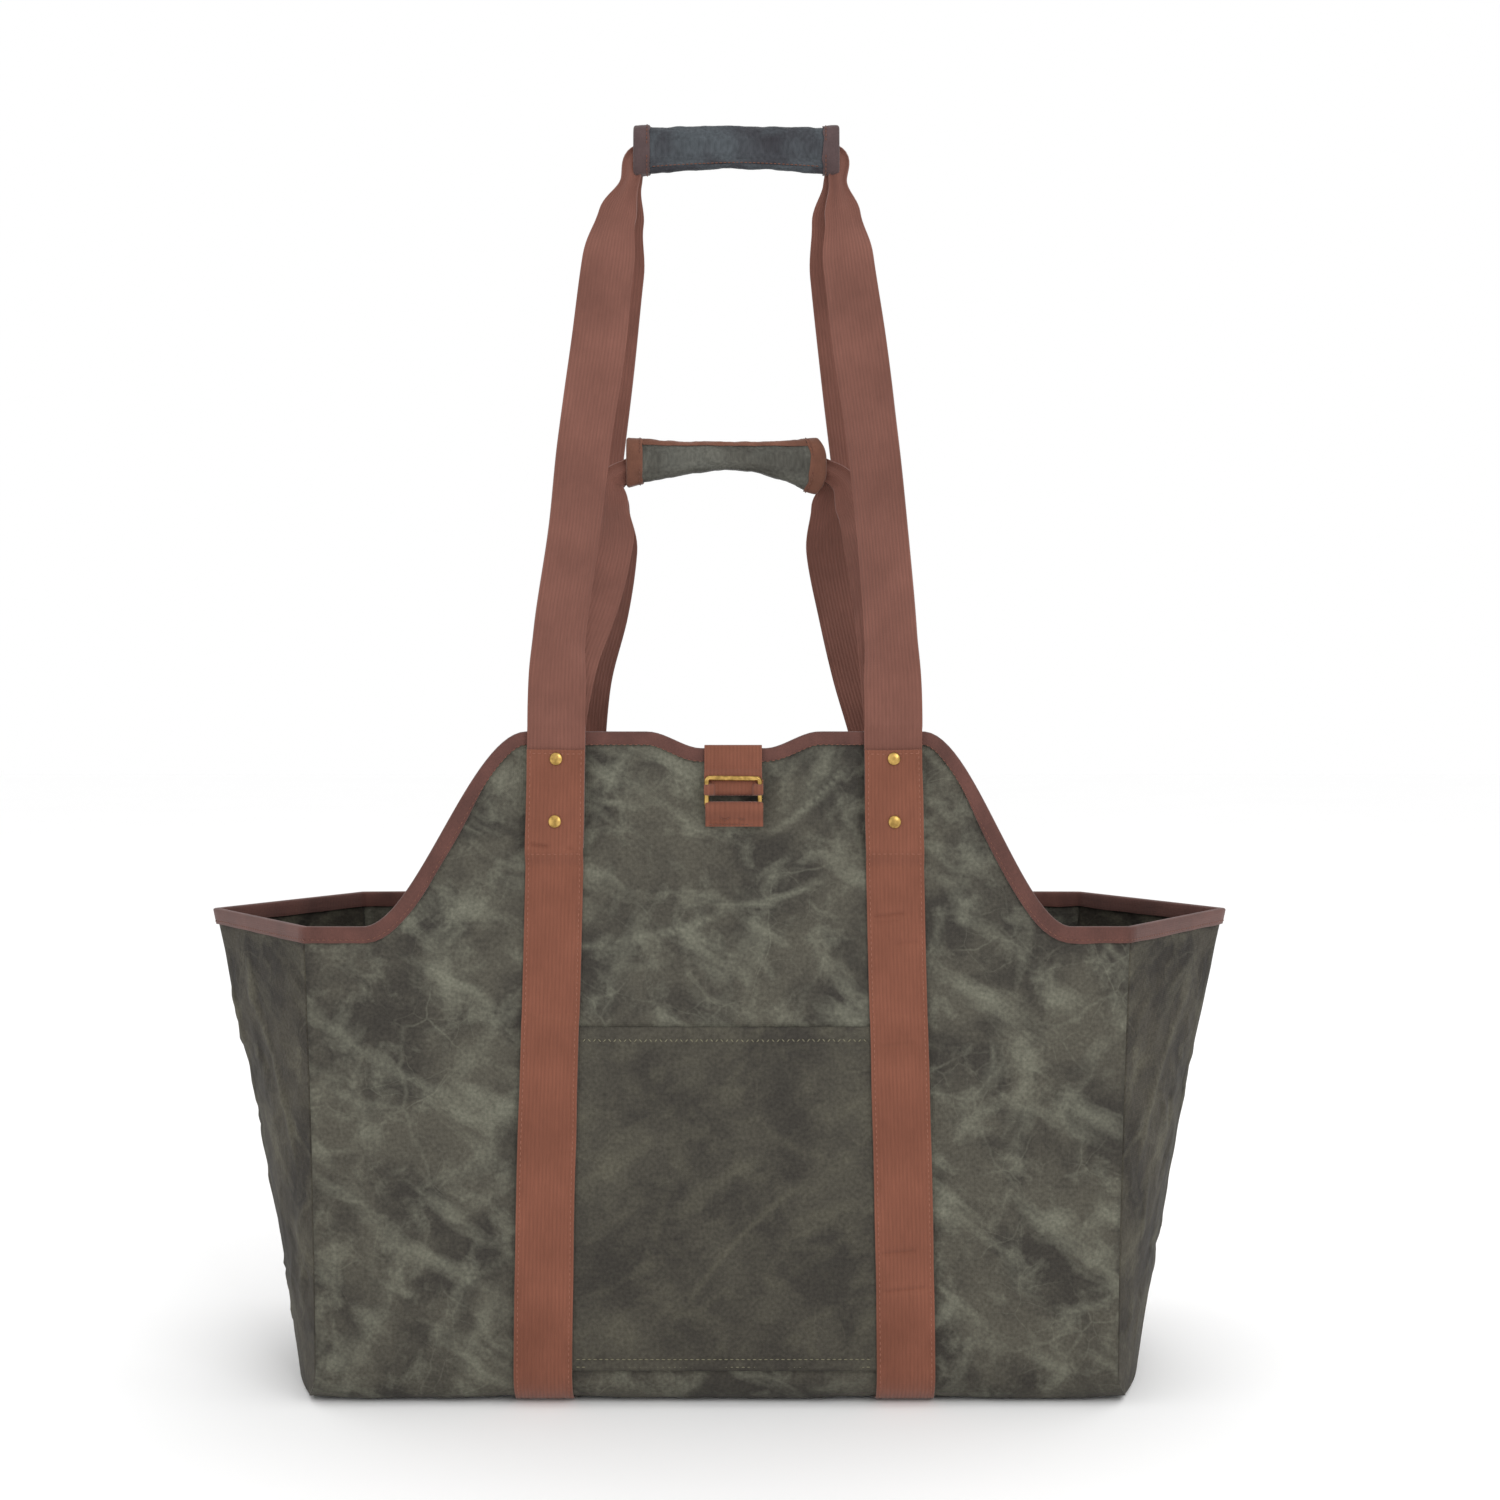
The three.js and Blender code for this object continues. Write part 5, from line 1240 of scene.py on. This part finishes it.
def strap_row(bag, hand, place, offset):
    """Row across a strap at a place on the path round the bag."""
    x = bag.strap_x(hand, place[2] if place[0] == "wall" else 0)
    if place[0] != "wall" or place[1] != FRONT:
        return lambda share: bag.body_point(x + share * bag.webbing_width, place, offset)
    near = [mark for mark in STRAP_WRINKLES
            if mark[0] == hand and abs(mark[1] * bag.peak_height - place[2]) < WRINKLE_REACH]

    def row(share):
        raised = 0.0
        for _, at, first, last, height in near:
            away = (place[2] - at * bag.peak_height - WRINKLE_SLANT * share * hand) / WRINKLE_WIDTH
            ends = smooth((share - first) / 0.1) * smooth((last - share) / 0.1)
            raised += height * ends * math.exp(-away * away)
        return bag.body_point(x + share * bag.webbing_width, place, offset + raised)

    return row


class LOGCARRIER_OT_handles(PieceOperator):
    """Two long and two short loops of webbing"""
    bl_idname = "log_carrier.handles"
    bl_label = "Handles"

    def execute(self, context):
        bag = shape_of(context)
        loops = (
            ("long_front", FRONT, bag.long_layer, "upper", LONG_FRONT_LEFT, LONG_FRONT_RIGHT),
            ("long_back", BACK, bag.long_layer, "upper", LONG_BACK_LEFT, LONG_BACK_RIGHT),
            ("short_front", FRONT, bag.short_layer, "lower", SHORT_LEFT, SHORT_FRONT_RIGHT),
            ("short_back", BACK, bag.short_layer, "lower", SHORT_LEFT, SHORT_BACK_RIGHT),
        )
        for name, side, layer, grip_name, left_route, right_route in loops:
            grip = bag.grip(grip_name)
            left_panel, left_free = half_handle(bag, side, LEFT, layer, grip, left_route)
            right_panel, right_free = half_handle(bag, side, RIGHT, layer, grip, right_route)
            rows = left_panel + left_free + right_free[::-1] + right_panel[::-1]
            add_webbing(bag, f"handle_{name}", "handle_webbing", f"handle_{name}", rows, bag.webbing_width, 16)
        return {"FINISHED"}


# How the grips hang, in metres: the arch of the middle and its power, how much more the underside is drawn up,
# how far the right end droops and how far it leans inwards
GRIP_SHAPES = {
    "upper": {"arch": 0.0012, "power": 1.5, "under": 0.0036, "droop": 0.0, "lean": 0.0},
    "lower": {"arch": 0.0036, "power": 1.2, "under": 0.0016, "droop": 0.0045, "lean": 0.0060},
}


def shaped_grip(bag, name, share, angle, wall):
    """Point round a grip as it hangs: its underside drawn up in the middle, its ends a little out of true."""
    grip = bag.grip(name)
    held = clamp(share, -1, 1)
    point, outward = bag.grip_ring(grip, held, angle, wall)
    point.x += (share - held) * grip["half"]
    under = 0.5 - 0.5 * math.sin(angle)
    shape = GRIP_SHAPES[name]
    point.z += (1 - abs(held) ** shape["power"]) * (shape["arch"] + shape["under"] * under)
    point.z -= shape["droop"] * smooth((held - 0.2) / 0.8) * under
    point.x -= shape["lean"] * smooth((held - 0.5) / 0.5) * math.sin(angle) ** 2
    pucker = noise.noise(Vector((share * 5, math.cos(angle) * 1.2, math.sin(angle) * 1.2 + (name == "upper"))))
    fine = noise.noise(Vector((share * 17, math.cos(angle) * 3, math.sin(angle) * 3)))
    return point + outward * (0.0010 * pucker + 0.0004 * fine), outward


class LOGCARRIER_OT_grips(PieceOperator):
    """Canvas sleeves round the gathered webbing; the grip bindings add the closing edge along each"""
    bl_idname = "log_carrier.grips"
    bl_label = "Grips"

    def execute(self, context):
        bag = shape_of(context)
        around, along = 72, 84
        for name in ("upper", "lower"):
            grip = bag.grip(name)
            girth = 2 * (bag.grip_size + (0.011 if name == "upper" else 0.005))

            def place(i, j):
                share, turn = mix(-1, 1, j / along), i / around * 2 * math.pi
                point, outward = shaped_grip(bag, name, share, turn, bag.grip_wall / 2)
                tone = 0.25 + 0.5 * noise.noise(Vector((share * 3, math.sin(turn) * 2, 5.0)))
                flat = (i / around * girth, share * grip["half"])
                return point, outward, flat, clamp(tone, 0, 1)

            bm = woven_grid(around, along, place, around=True)
            sleeve = add_piece(f"canvas_grip_{name}", bm, f"grip_{name}",
                               [f"grip_{name}"], bag.grip_wall)
        return {"FINISHED"}


class LOGCARRIER_OT_grip_bindings(PieceOperator):
    """Tape round the grips' ends and along the lower grip's closing edge"""
    bl_idname = "log_carrier.grip_bindings"
    bl_label = "Grip bindings"

    def execute(self, context):
        bag = shape_of(context)
        middle = bag.grip_wall + bag.clearance * 0.5 + bag.tape_thickness / 2
        for name in ("upper", "lower"):
            grip = bag.grip(name)
            start = 1 - bag.grip_tape_width / grip["half"]
            over = bag.tape_thickness / grip["half"]
            profile = [(share, middle) for share in steps(start, 1, 6)]
            profile += [(1 + over * math.sin(math.radians(angle)), mix(-0.0004, middle, math.cos(
                math.radians(angle)) * 0.5 + 0.5)) for angle in steps(0, 180, 6)[1:]]
            for hand, end in HANDS:
                around = 64

                def place(i, j):
                    share, wall = profile[j]
                    turn = i / around * 2 * math.pi
                    edge = 0.02 * noise.noise(Vector((math.cos(turn) * 2, math.sin(turn) * 2, hand + j * 0.05)))
                    point, outward = shaped_grip(bag, name, hand * (share + edge * (j < 3)), turn, wall)
                    return point, outward, (turn * 0.014, j * 0.0018), 0.0

                bm = woven_grid(around, len(profile) - 1, place, around=True)
                material = "upper_binding" if name == "upper" else "grip_binding"
                add_piece(f"tape_grip_{name}_{end}", bm, material,
                          [f"grip_{name}_binding_{end}"], bag.tape_thickness * 0.8, bevel=0.0002)

        def edge_tape(name, first, last, wall, material):
            grip = bag.grip(name)
            reach = 1 - bag.grip_tape_width / grip["half"]

            def place(i, j):
                turn = math.radians(mix(first, last, i / 8))
                rise = 0.0002 + wall * math.sin(math.pi * clamp(i / 8, 0.05, 0.95)) ** 0.3
                point, outward = shaped_grip(bag, name, mix(-reach, reach, j / 60), turn, bag.grip_wall + rise)
                return point, outward, (i * 0.001, j * 0.0022), 0.0

            bm = woven_grid(8, 60, place)
            add_piece(f"tape_grip_{name}_edge", bm, material, (), 0.0009, bevel=0.0002)

        # The lower grip closes along its top in brown tape, the upper one along its foot in its own canvas
        edge_tape("lower", -216, -266, 0.0006, "grip_binding")
        edge_tape("upper", -135, -95, 0.0004, "grip_upper")
        return {"FINISHED"}


class LOGCARRIER_OT_rivets(PieceOperator):
    """Domed brass rivets through the straps and handles"""
    bl_idname = "log_carrier.rivets"
    bl_label = "Rivets"

    def execute(self, context):
        bag = shape_of(context)
        seat = bag.over_handles + bag.webbing_thickness + 0.00005
        back = -bag.half_cloth
        edge = 0.0005
        cap = [(bag.rivet_cap_radius * math.cos(angle), seat + edge + (bag.rivet_dome - edge) * math.sin(angle))
               for angle in steps(0, math.pi / 2, 8)]
        profile = [(0, back - 0.0011), (bag.rivet_back_radius * 0.8, back - 0.0010),
                   (bag.rivet_back_radius, back - 0.0005), (bag.rivet_back_radius, back),
                   (bag.rivet_post_radius, back), (bag.rivet_post_radius, seat),
                   (bag.rivet_cap_radius * 0.97, seat), *cap]
        for side, side_name in SIDES:
            for hand, hand_name in HANDS:
                for row, row_name in enumerate(("upper", "lower")):
                    z = bag.strap_top(side) - bag.rivet_edge - row * bag.rivet_step
                    foot, outward = bag.wall_point(bag.strap_x(hand, z), z, side, 0)
                    bm = bmesh.new()
                    verts = [bm.verts.new((radius, 0, height)) for radius, height in profile]
                    edges = [bm.edges.new(pair) for pair in zip(verts, verts[1:])]
                    bmesh.ops.spin(bm, geom=verts + edges, cent=(0, 0, 0), axis=(0, 0, 1),
                                   angle=2 * math.pi, steps=40, use_merge=True)
                    bmesh.ops.remove_doubles(bm, verts=bm.verts[:], dist=1e-6)
                    bmesh.ops.recalc_face_normals(bm, faces=bm.faces[:])
                    turn = outward.to_track_quat("Z", "Y").to_matrix().to_4x4()
                    bmesh.ops.transform(bm, matrix=Matrix.Translation(foot) @ turn, verts=bm.verts)
                    name = f"{side_name}_{hand_name}_{row_name}"
                    add_piece(f"brass_rivet_{name}", bm, "brass", [f"rivet_{name}"])
        return {"FINISHED"}


class LOGCARRIER_OT_closure(PieceOperator):
    """Strap across the mouth, threaded through the rings, and the tab that holds them"""
    bl_idname = "log_carrier.closure"
    bl_label = "Closure"

    def execute(self, context):
        bag = shape_of(context)
        wrap_z = bag.ring_top_height - bag.ring_pitch
        bend = bag.clearance + bag.webbing_thickness / 2
        tape_top = bag.clearance + bag.tape_thickness

        def beside(side, offset, z):
            point = bag.wall_point(bag.closure_x, z, side, offset)[0]
            return point.y, point.z

        def over_rim(side):
            rim = bag.rim_height(bag.closure_x, side)
            over = [(bag.tape_outer + bend, rim - RIM_LEAD)]
            over += arc(bag.tape_outer, rim + tape_top, bend, 0, 90, 5)
            over += arc(-bag.tape_outer, rim + tape_top, bend, 90, 120, 3)
            return [beside(side, offset, z) for offset, z in over]

        front_edge, back_edge = over_rim(FRONT), over_rim(BACK)[::-1]
        leave, arrive = front_edge[-1], back_edge[0]
        pinched = [beside(FRONT, bag.tail_mid, z) for z in steps(wrap_z + bag.closure_tail, wrap_z, 4)[:-1]]
        pinched += [beside(FRONT, offset, z) for offset, z in
                    arc(bag.lower_ring_out, wrap_z, bag.wrap_radius, -180, 0, 16)]
        pinched += [beside(FRONT, bag.run_mid, z) for z in steps(wrap_z, bag.ring_top_height + BAR_LEAD, 12)[1:]]
        ease = [beside(FRONT, mix(bag.run_mid, bag.tape_outer + bend, smooth(share)),
                       mix(bag.ring_top_height + BAR_LEAD, bag.rim_height(bag.closure_x, FRONT) - RIM_LEAD, share))
                for share in (0.35, 0.7)]
        path = pinched + ease + front_edge
        path += [(mix(leave[0], arrive[0], share),
                  mix(leave[1], arrive[1], share) - bag.closure_sag * 4 * share * (1 - share))
                 for share in steps(0.02, 0.98, 48)]
        back_rim = bag.rim_height(bag.closure_x, BACK)
        path += back_edge
        path += [beside(BACK, bag.tape_outer + bend, z)
                 for z in steps(back_rim - RIM_LEAD, back_rim - bag.closure_back_reach, 10)[1:]]

        # Squeezed where it passes back through the ring, spread over the ring's sides in front
        def spread_at(i):
            return smooth((i - 11) / 5)

        def width_at(i):
            spread = bag.webbing_width + (0.0008 if i < len(pinched) - 4 else 0)
            return mix(bag.pinched_width, spread, spread_at(i))

        def middle_at(i):
            return bag.closure_x + 0.0004 * spread_at(i) * (i < len(pinched) - 4)

        def lift_at(i):
            below_bar = smooth((bag.ring_top_height - 0.0022 - path[i][1]) / 0.0022)
            proud = bag.upper_ring_top_out + bag.ring_wire_radius + bend + 0.0002 - bag.run_mid
            return proud * spread_at(i) * below_bar * (i < len(pinched))

        rows = path_rows(path, middle_at, width_at, lift_at, bag.ring_inner_width)
        add_webbing(bag, "closure_strap", "body_webbing", "closure_strap", rows, bag.webbing_width, 30)

        reach = bag.upper_ring_foot_out - bag.lower_ring_out
        fold = bag.ring_wire_radius + bag.bar_clearance + bag.webbing_thickness / 2
        outer = bag.on_panel + bag.webbing_thickness + bag.clearance + bag.webbing_thickness / 2
        foot, bottom = bag.ring_foot, bag.tab_bottom
        tab = [(bag.tail_mid, z) for z in steps(bottom, mix(bottom, foot, 0.6), 4)]
        tab += arc(bag.lower_ring_out, foot, fold, 180, 90, 6)
        tab += arc(bag.lower_ring_out + reach, foot, fold, 90, 0, 6)
        tab += [(bag.lower_ring_out + reach + fold * 0.85, foot - 0.003),
                (outer + 0.0014, mix(bottom, foot, 0.45)), (outer + 0.0004, mix(bottom, foot, 0.3)),
                (outer, mix(bottom, foot, 0.12)), (outer, bottom)]
        in_front = lambda i: smooth((i - 11.5) / 3)
        rows = path_rows([beside(FRONT, offset, z) for offset, z in tab],
                         lambda i: bag.closure_x + 0.0008 * in_front(i),
                         lambda i: mix(bag.pinched_width, bag.webbing_width, in_front(i)))
        add_webbing(bag, "anchor_tab", "body_webbing", "anchor_tab", rows, bag.pinched_width, 12)
        return {"FINISHED"}


class LOGCARRIER_OT_rings(PieceOperator):
    """Two rectangular rings of brass wire"""
    bl_idname = "log_carrier.rings"
    bl_label = "Rings"

    def execute(self, context):
        bag = shape_of(context)
        top = bag.ring_top_height
        for name, foot_out, top_out, top_z in (
                ("lower", bag.lower_ring_out, bag.lower_ring_out, top - bag.ring_pitch),
                ("upper", bag.upper_ring_foot_out, bag.upper_ring_top_out, top)):
            half = bag.ring_inner_width / 2 + bag.ring_wire_radius
            height = top_z - bag.ring_foot
            corner = min(bag.ring_corner_radius, height / 2 - 0.0001)
            path = []
            for quarter, (sx, sz) in enumerate(((1, 1), (-1, 1), (-1, -1), (1, -1))):
                for angle in steps(quarter * 90, quarter * 90 + 90, 6):
                    turn = math.radians(angle)
                    path.append((sx * (half - corner) + corner * math.cos(turn),
                                 height / 2 + sz * (height / 2 - corner) + corner * math.sin(turn), turn))
            around = 16

            def place(i, j):
                x, up, turn = path[j % len(path)]
                roll = i / around * 2 * math.pi
                proud, wide = bag.ring_wire_radius * math.sin(roll), bag.ring_wire_radius * math.cos(roll)
                px = x + wide * math.cos(turn)
                pz = bag.ring_foot + up + wide * math.sin(turn)
                out = mix(foot_out, top_out, up / height) + proud
                point, normal = bag.wall_point(bag.closure_x + px, pz, FRONT, out)
                outward = normal * math.sin(roll) + Vector((math.cos(turn), 0, math.sin(turn))) * math.cos(roll)
                return point, outward, (0, 0), 0.0

            bm = woven_grid(around, len(path), place, around=True, looped=True)
            add_piece(f"brass_ring_{name}", bm, "brass", [f"ring_{name}"])
        return {"FINISHED"}


# Where a strap's two long seams run, as a share of its width from its middle
STRAP_SEAM = 0.44


class LOGCARRIER_OT_stitching(PieceOperator):
    """Seams of the straps, rim, pocket, tab and grips, as single stitches"""
    bl_idname = "log_carrier.stitching"
    bl_label = "Stitching"

    def execute(self, context):
        bag = shape_of(context)
        stitch = stitch_shape(bag.stitch_length)
        pitch = bag.stitch_gap
        proud = bag.webbing_thickness

        bm = bmesh.new()
        for hand in (LEFT, RIGHT):
            places = strap_places(bag, 110, 10, 16)
            for share in (-STRAP_SEAM, STRAP_SEAM):
                rows = [strap_row(bag, hand, place, offset + proud) for place, offset in places]
                line = along_line([row(share) for row in rows], pitch)
                sew(bm, stitch, [spot for spot in line if spot[2].z > -0.8])
            for side in (FRONT, BACK):
                for drop in (0.0028, bag.handle_tail + 0.004):
                    z = bag.strap_top(side) - drop
                    row = strap_row(bag, hand, ("wall", side, z), strap_offset(bag, side, z) + proud)
                    sew(bm, stitch, along_line([row(share) for share in steps(-0.42, 0.42, 8)], pitch))
        sew(bm, stitch, closure_back_seam(bag, pitch))
        add_piece("thread_straps", bm, "thread")

        bm = bmesh.new()
        line = [station(bag.tape_outer, bag.tape_width * 0.78) for station in rim_stations(bag, 150, 44)]
        sew(bm, stitch, along_line(line + line[:1], pitch))
        add_piece("thread_rim", bm, "rim_thread")

        bm = bmesh.new()
        outer = bag.on_panel + bag.canvas_thickness
        left, right = bag.strap_x(LEFT, 0.24) + 0.021, bag.strap_x(RIGHT, 0.24) - 0.021
        # A zigzag along the hem, then two straight rows along the pocket's foot
        teeth = 56
        heights = (bag.pocket_height - 0.0105, bag.pocket_height - 0.0068)
        line = [bag.wall_point(mix(left, right, i / teeth), heights[i % 2], FRONT, outer + 0.0006)
                for i in range(teeth + 1)]
        sew(bm, stitch, [(a[0].lerp(b[0], 0.5), b[0] - a[0], a[1]) for a, b in zip(line, line[1:])])
        for rise in (0.0025, 0.0075):
            line = [bag.wall_point(x, bag.arc_top + rise, FRONT, outer + 0.0003)
                    for x in steps(left - 0.004, right + 0.004, 40)]
            sew(bm, stitch, along_line(line, pitch))
        add_piece("thread_pocket", bm, "pocket_thread")

        bm = bmesh.new()
        outer = bag.on_panel + 2 * bag.webbing_thickness + bag.clearance
        # A W across the tab just under the rings, where the webbing stands out a little
        low, high = (bag.tab_bottom + 0.0042, 0.0013), (bag.tab_bottom + 0.0080, 0.0034)
        half = bag.webbing_width * 0.30
        corners = [bag.wall_point(bag.closure_x + half * x, z, FRONT, outer + swell + 0.0002)
                   for x, (z, swell) in zip((-1, -0.5, 0, 0.5, 1), (high, low, high, low, high))]
        sew(bm, stitch, along_line(corners, pitch * 0.75))
        border = [bag.wall_point(bag.closure_x + half * x, bag.tab_bottom + 0.0013, FRONT, outer + 0.0002)
                  for x in (-1.4, 1.4)]
        sew(bm, stitch, along_line(border, pitch * 0.8))
        for name, angle in (("upper", -140), ("lower", -240)):
            grip = bag.grip(name)
            line = [shaped_grip(bag, name, share, math.radians(angle), bag.grip_wall + 0.0001)
                    for share in steps(-0.84, 0.84, 40)]
            sew(bm, stitch, along_line(line, pitch * 0.8))
            for hand in (LEFT, RIGHT):
                share = hand * (1 - 0.8 * bag.grip_tape_width / grip["half"])
                line = [shaped_grip(bag, name, share, math.radians(turn), bag.grip_wall + 0.0015)
                        for turn in steps(-175, 175, 40)]
                sew(bm, stitch, along_line(line, pitch * 0.8))
        add_piece("thread_tab_and_grips", bm, "rim_thread")
        bpy.data.meshes.remove(stitch)
        return {"FINISHED"}


def along_line(line, pitch):
    """Places at equal distances along a line of points and outward directions."""
    result, left = [], pitch / 2
    for (start, outward), (end, _) in zip(line, line[1:]):
        run = end - start
        while left < run.length:
            result.append((start + run * (left / run.length), run.copy(), outward))
            left += pitch
        left -= run.length
    return result


def closure_back_seam(bag, pitch):
    """Box seam that holds the closure strap on the back."""
    rim = bag.rim_height(bag.closure_x, BACK)
    offset = bag.tape_outer + bag.clearance + bag.webbing_thickness
    half = bag.webbing_width * 0.42
    corners = ((-half, rim - 0.020), (half, rim - 0.020), (half, rim - 0.047), (-half, rim - 0.047),
               (-half, rim - 0.020), (half, rim - 0.047))
    return along_line([bag.wall_point(bag.closure_x + x, z, BACK, offset) for x, z in corners], pitch)


class LOGCARRIER_PT_panel(bpy.types.Panel):
    """Sizes, colours and pieces of the log carrier"""
    bl_label = "Log carrier"
    bl_idname = "LOGCARRIER_PT_panel"
    bl_space_type = "VIEW_3D"
    bl_region_type = "UI"
    bl_category = "Log carrier"

    def draw(self, context):
        for operator in OPERATORS:
            self.layout.operator(operator.bl_idname)
        for group, keys in ((context.scene.carrier_sizes, SIZES), (context.scene.carrier_colours, COLOURS)):
            box = self.layout.box()
            for key in keys:
                box.prop(group, key)


OPERATORS = (
    LOGCARRIER_OT_stage,
    LOGCARRIER_OT_main_panel,
    LOGCARRIER_OT_gussets,
    LOGCARRIER_OT_pocket,
    LOGCARRIER_OT_rim_binding,
    LOGCARRIER_OT_body_straps,
    LOGCARRIER_OT_handles,
    LOGCARRIER_OT_grips,
    LOGCARRIER_OT_grip_bindings,
    LOGCARRIER_OT_rivets,
    LOGCARRIER_OT_closure,
    LOGCARRIER_OT_rings,
    LOGCARRIER_OT_stitching,
)
MATERIALS = {}


# Canvases, by the key of their colours: name, creasing and roughness
CANVASES = {
    "canvas": ("waxed_cotton_canvas", 1.0, 0.74),
    # The ends' canvas is darker than the front's: painted shade
    "ends": ("waxed_cotton_canvas_ends", 0.7, 0.80),
    "pocket": ("smooth_waxed_canvas", 0.45, 0.74),
    "grip_upper": ("handled_waxed_canvas", 0.4, 0.55),
    "grip_lower": ("green_waxed_canvas", 0.5, 0.6),
}
# The other materials, by the key of their colour: name and maker
OTHERS = {
    "body_webbing": ("strap_cotton_webbing", cotton_webbing),
    "handle_webbing": ("handle_cotton_webbing", cotton_webbing),
    "binding": ("folded_cotton_tape", folded_tape),
    "grip_binding": ("worn_cotton_tape", folded_tape),
    "upper_binding": ("darkened_cotton_tape", folded_tape),
    "thread": ("brown_sewing_thread", sewing_thread),
    "rim_thread": ("dark_sewing_thread", sewing_thread),
    "pocket_thread": ("pale_sewing_thread", sewing_thread),
    "brass": ("tarnished_brass", tarnished_brass),
    "floor": ("matt_floor_paint", floor_paint),
}


def make_materials(colours):
    """Every material, by the key of its colour."""
    tone = lambda key: list(getattr(colours, key))
    made = {key: waxed_canvas(name, tone(key), tone(key + "_dark"), tone(key + "_pale"), creasing, roughness)
            for key, (name, creasing, roughness) in CANVASES.items()}
    return made | {key: maker(name, tone(key)) for key, (name, maker) in OTHERS.items()}


CLASSES = (CarrierSizes, CarrierColours, *OPERATORS, LOGCARRIER_PT_panel)


def register():
    for cls in CLASSES:
        bpy.utils.register_class(cls)
    bpy.types.Scene.carrier_sizes = bpy.props.PointerProperty(type=CarrierSizes)
    bpy.types.Scene.carrier_colours = bpy.props.PointerProperty(type=CarrierColours)


def unregister():
    del bpy.types.Scene.carrier_colours
    del bpy.types.Scene.carrier_sizes
    for cls in reversed(CLASSES):
        bpy.utils.unregister_class(cls)


def main():
    register()
    MATERIALS.update(make_materials(bpy.context.scene.carrier_colours))
    for operator in OPERATORS:
        group, name = operator.bl_idname.split(".")
        getattr(getattr(bpy.ops, group), name)()
    boxes = {"cad": CAD_BOUNDS, "visual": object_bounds()}
    {key: [[float(value) for value in corner] for corner in box] for key, box in boxes.items()}


if __name__ == "__main__":
    main()
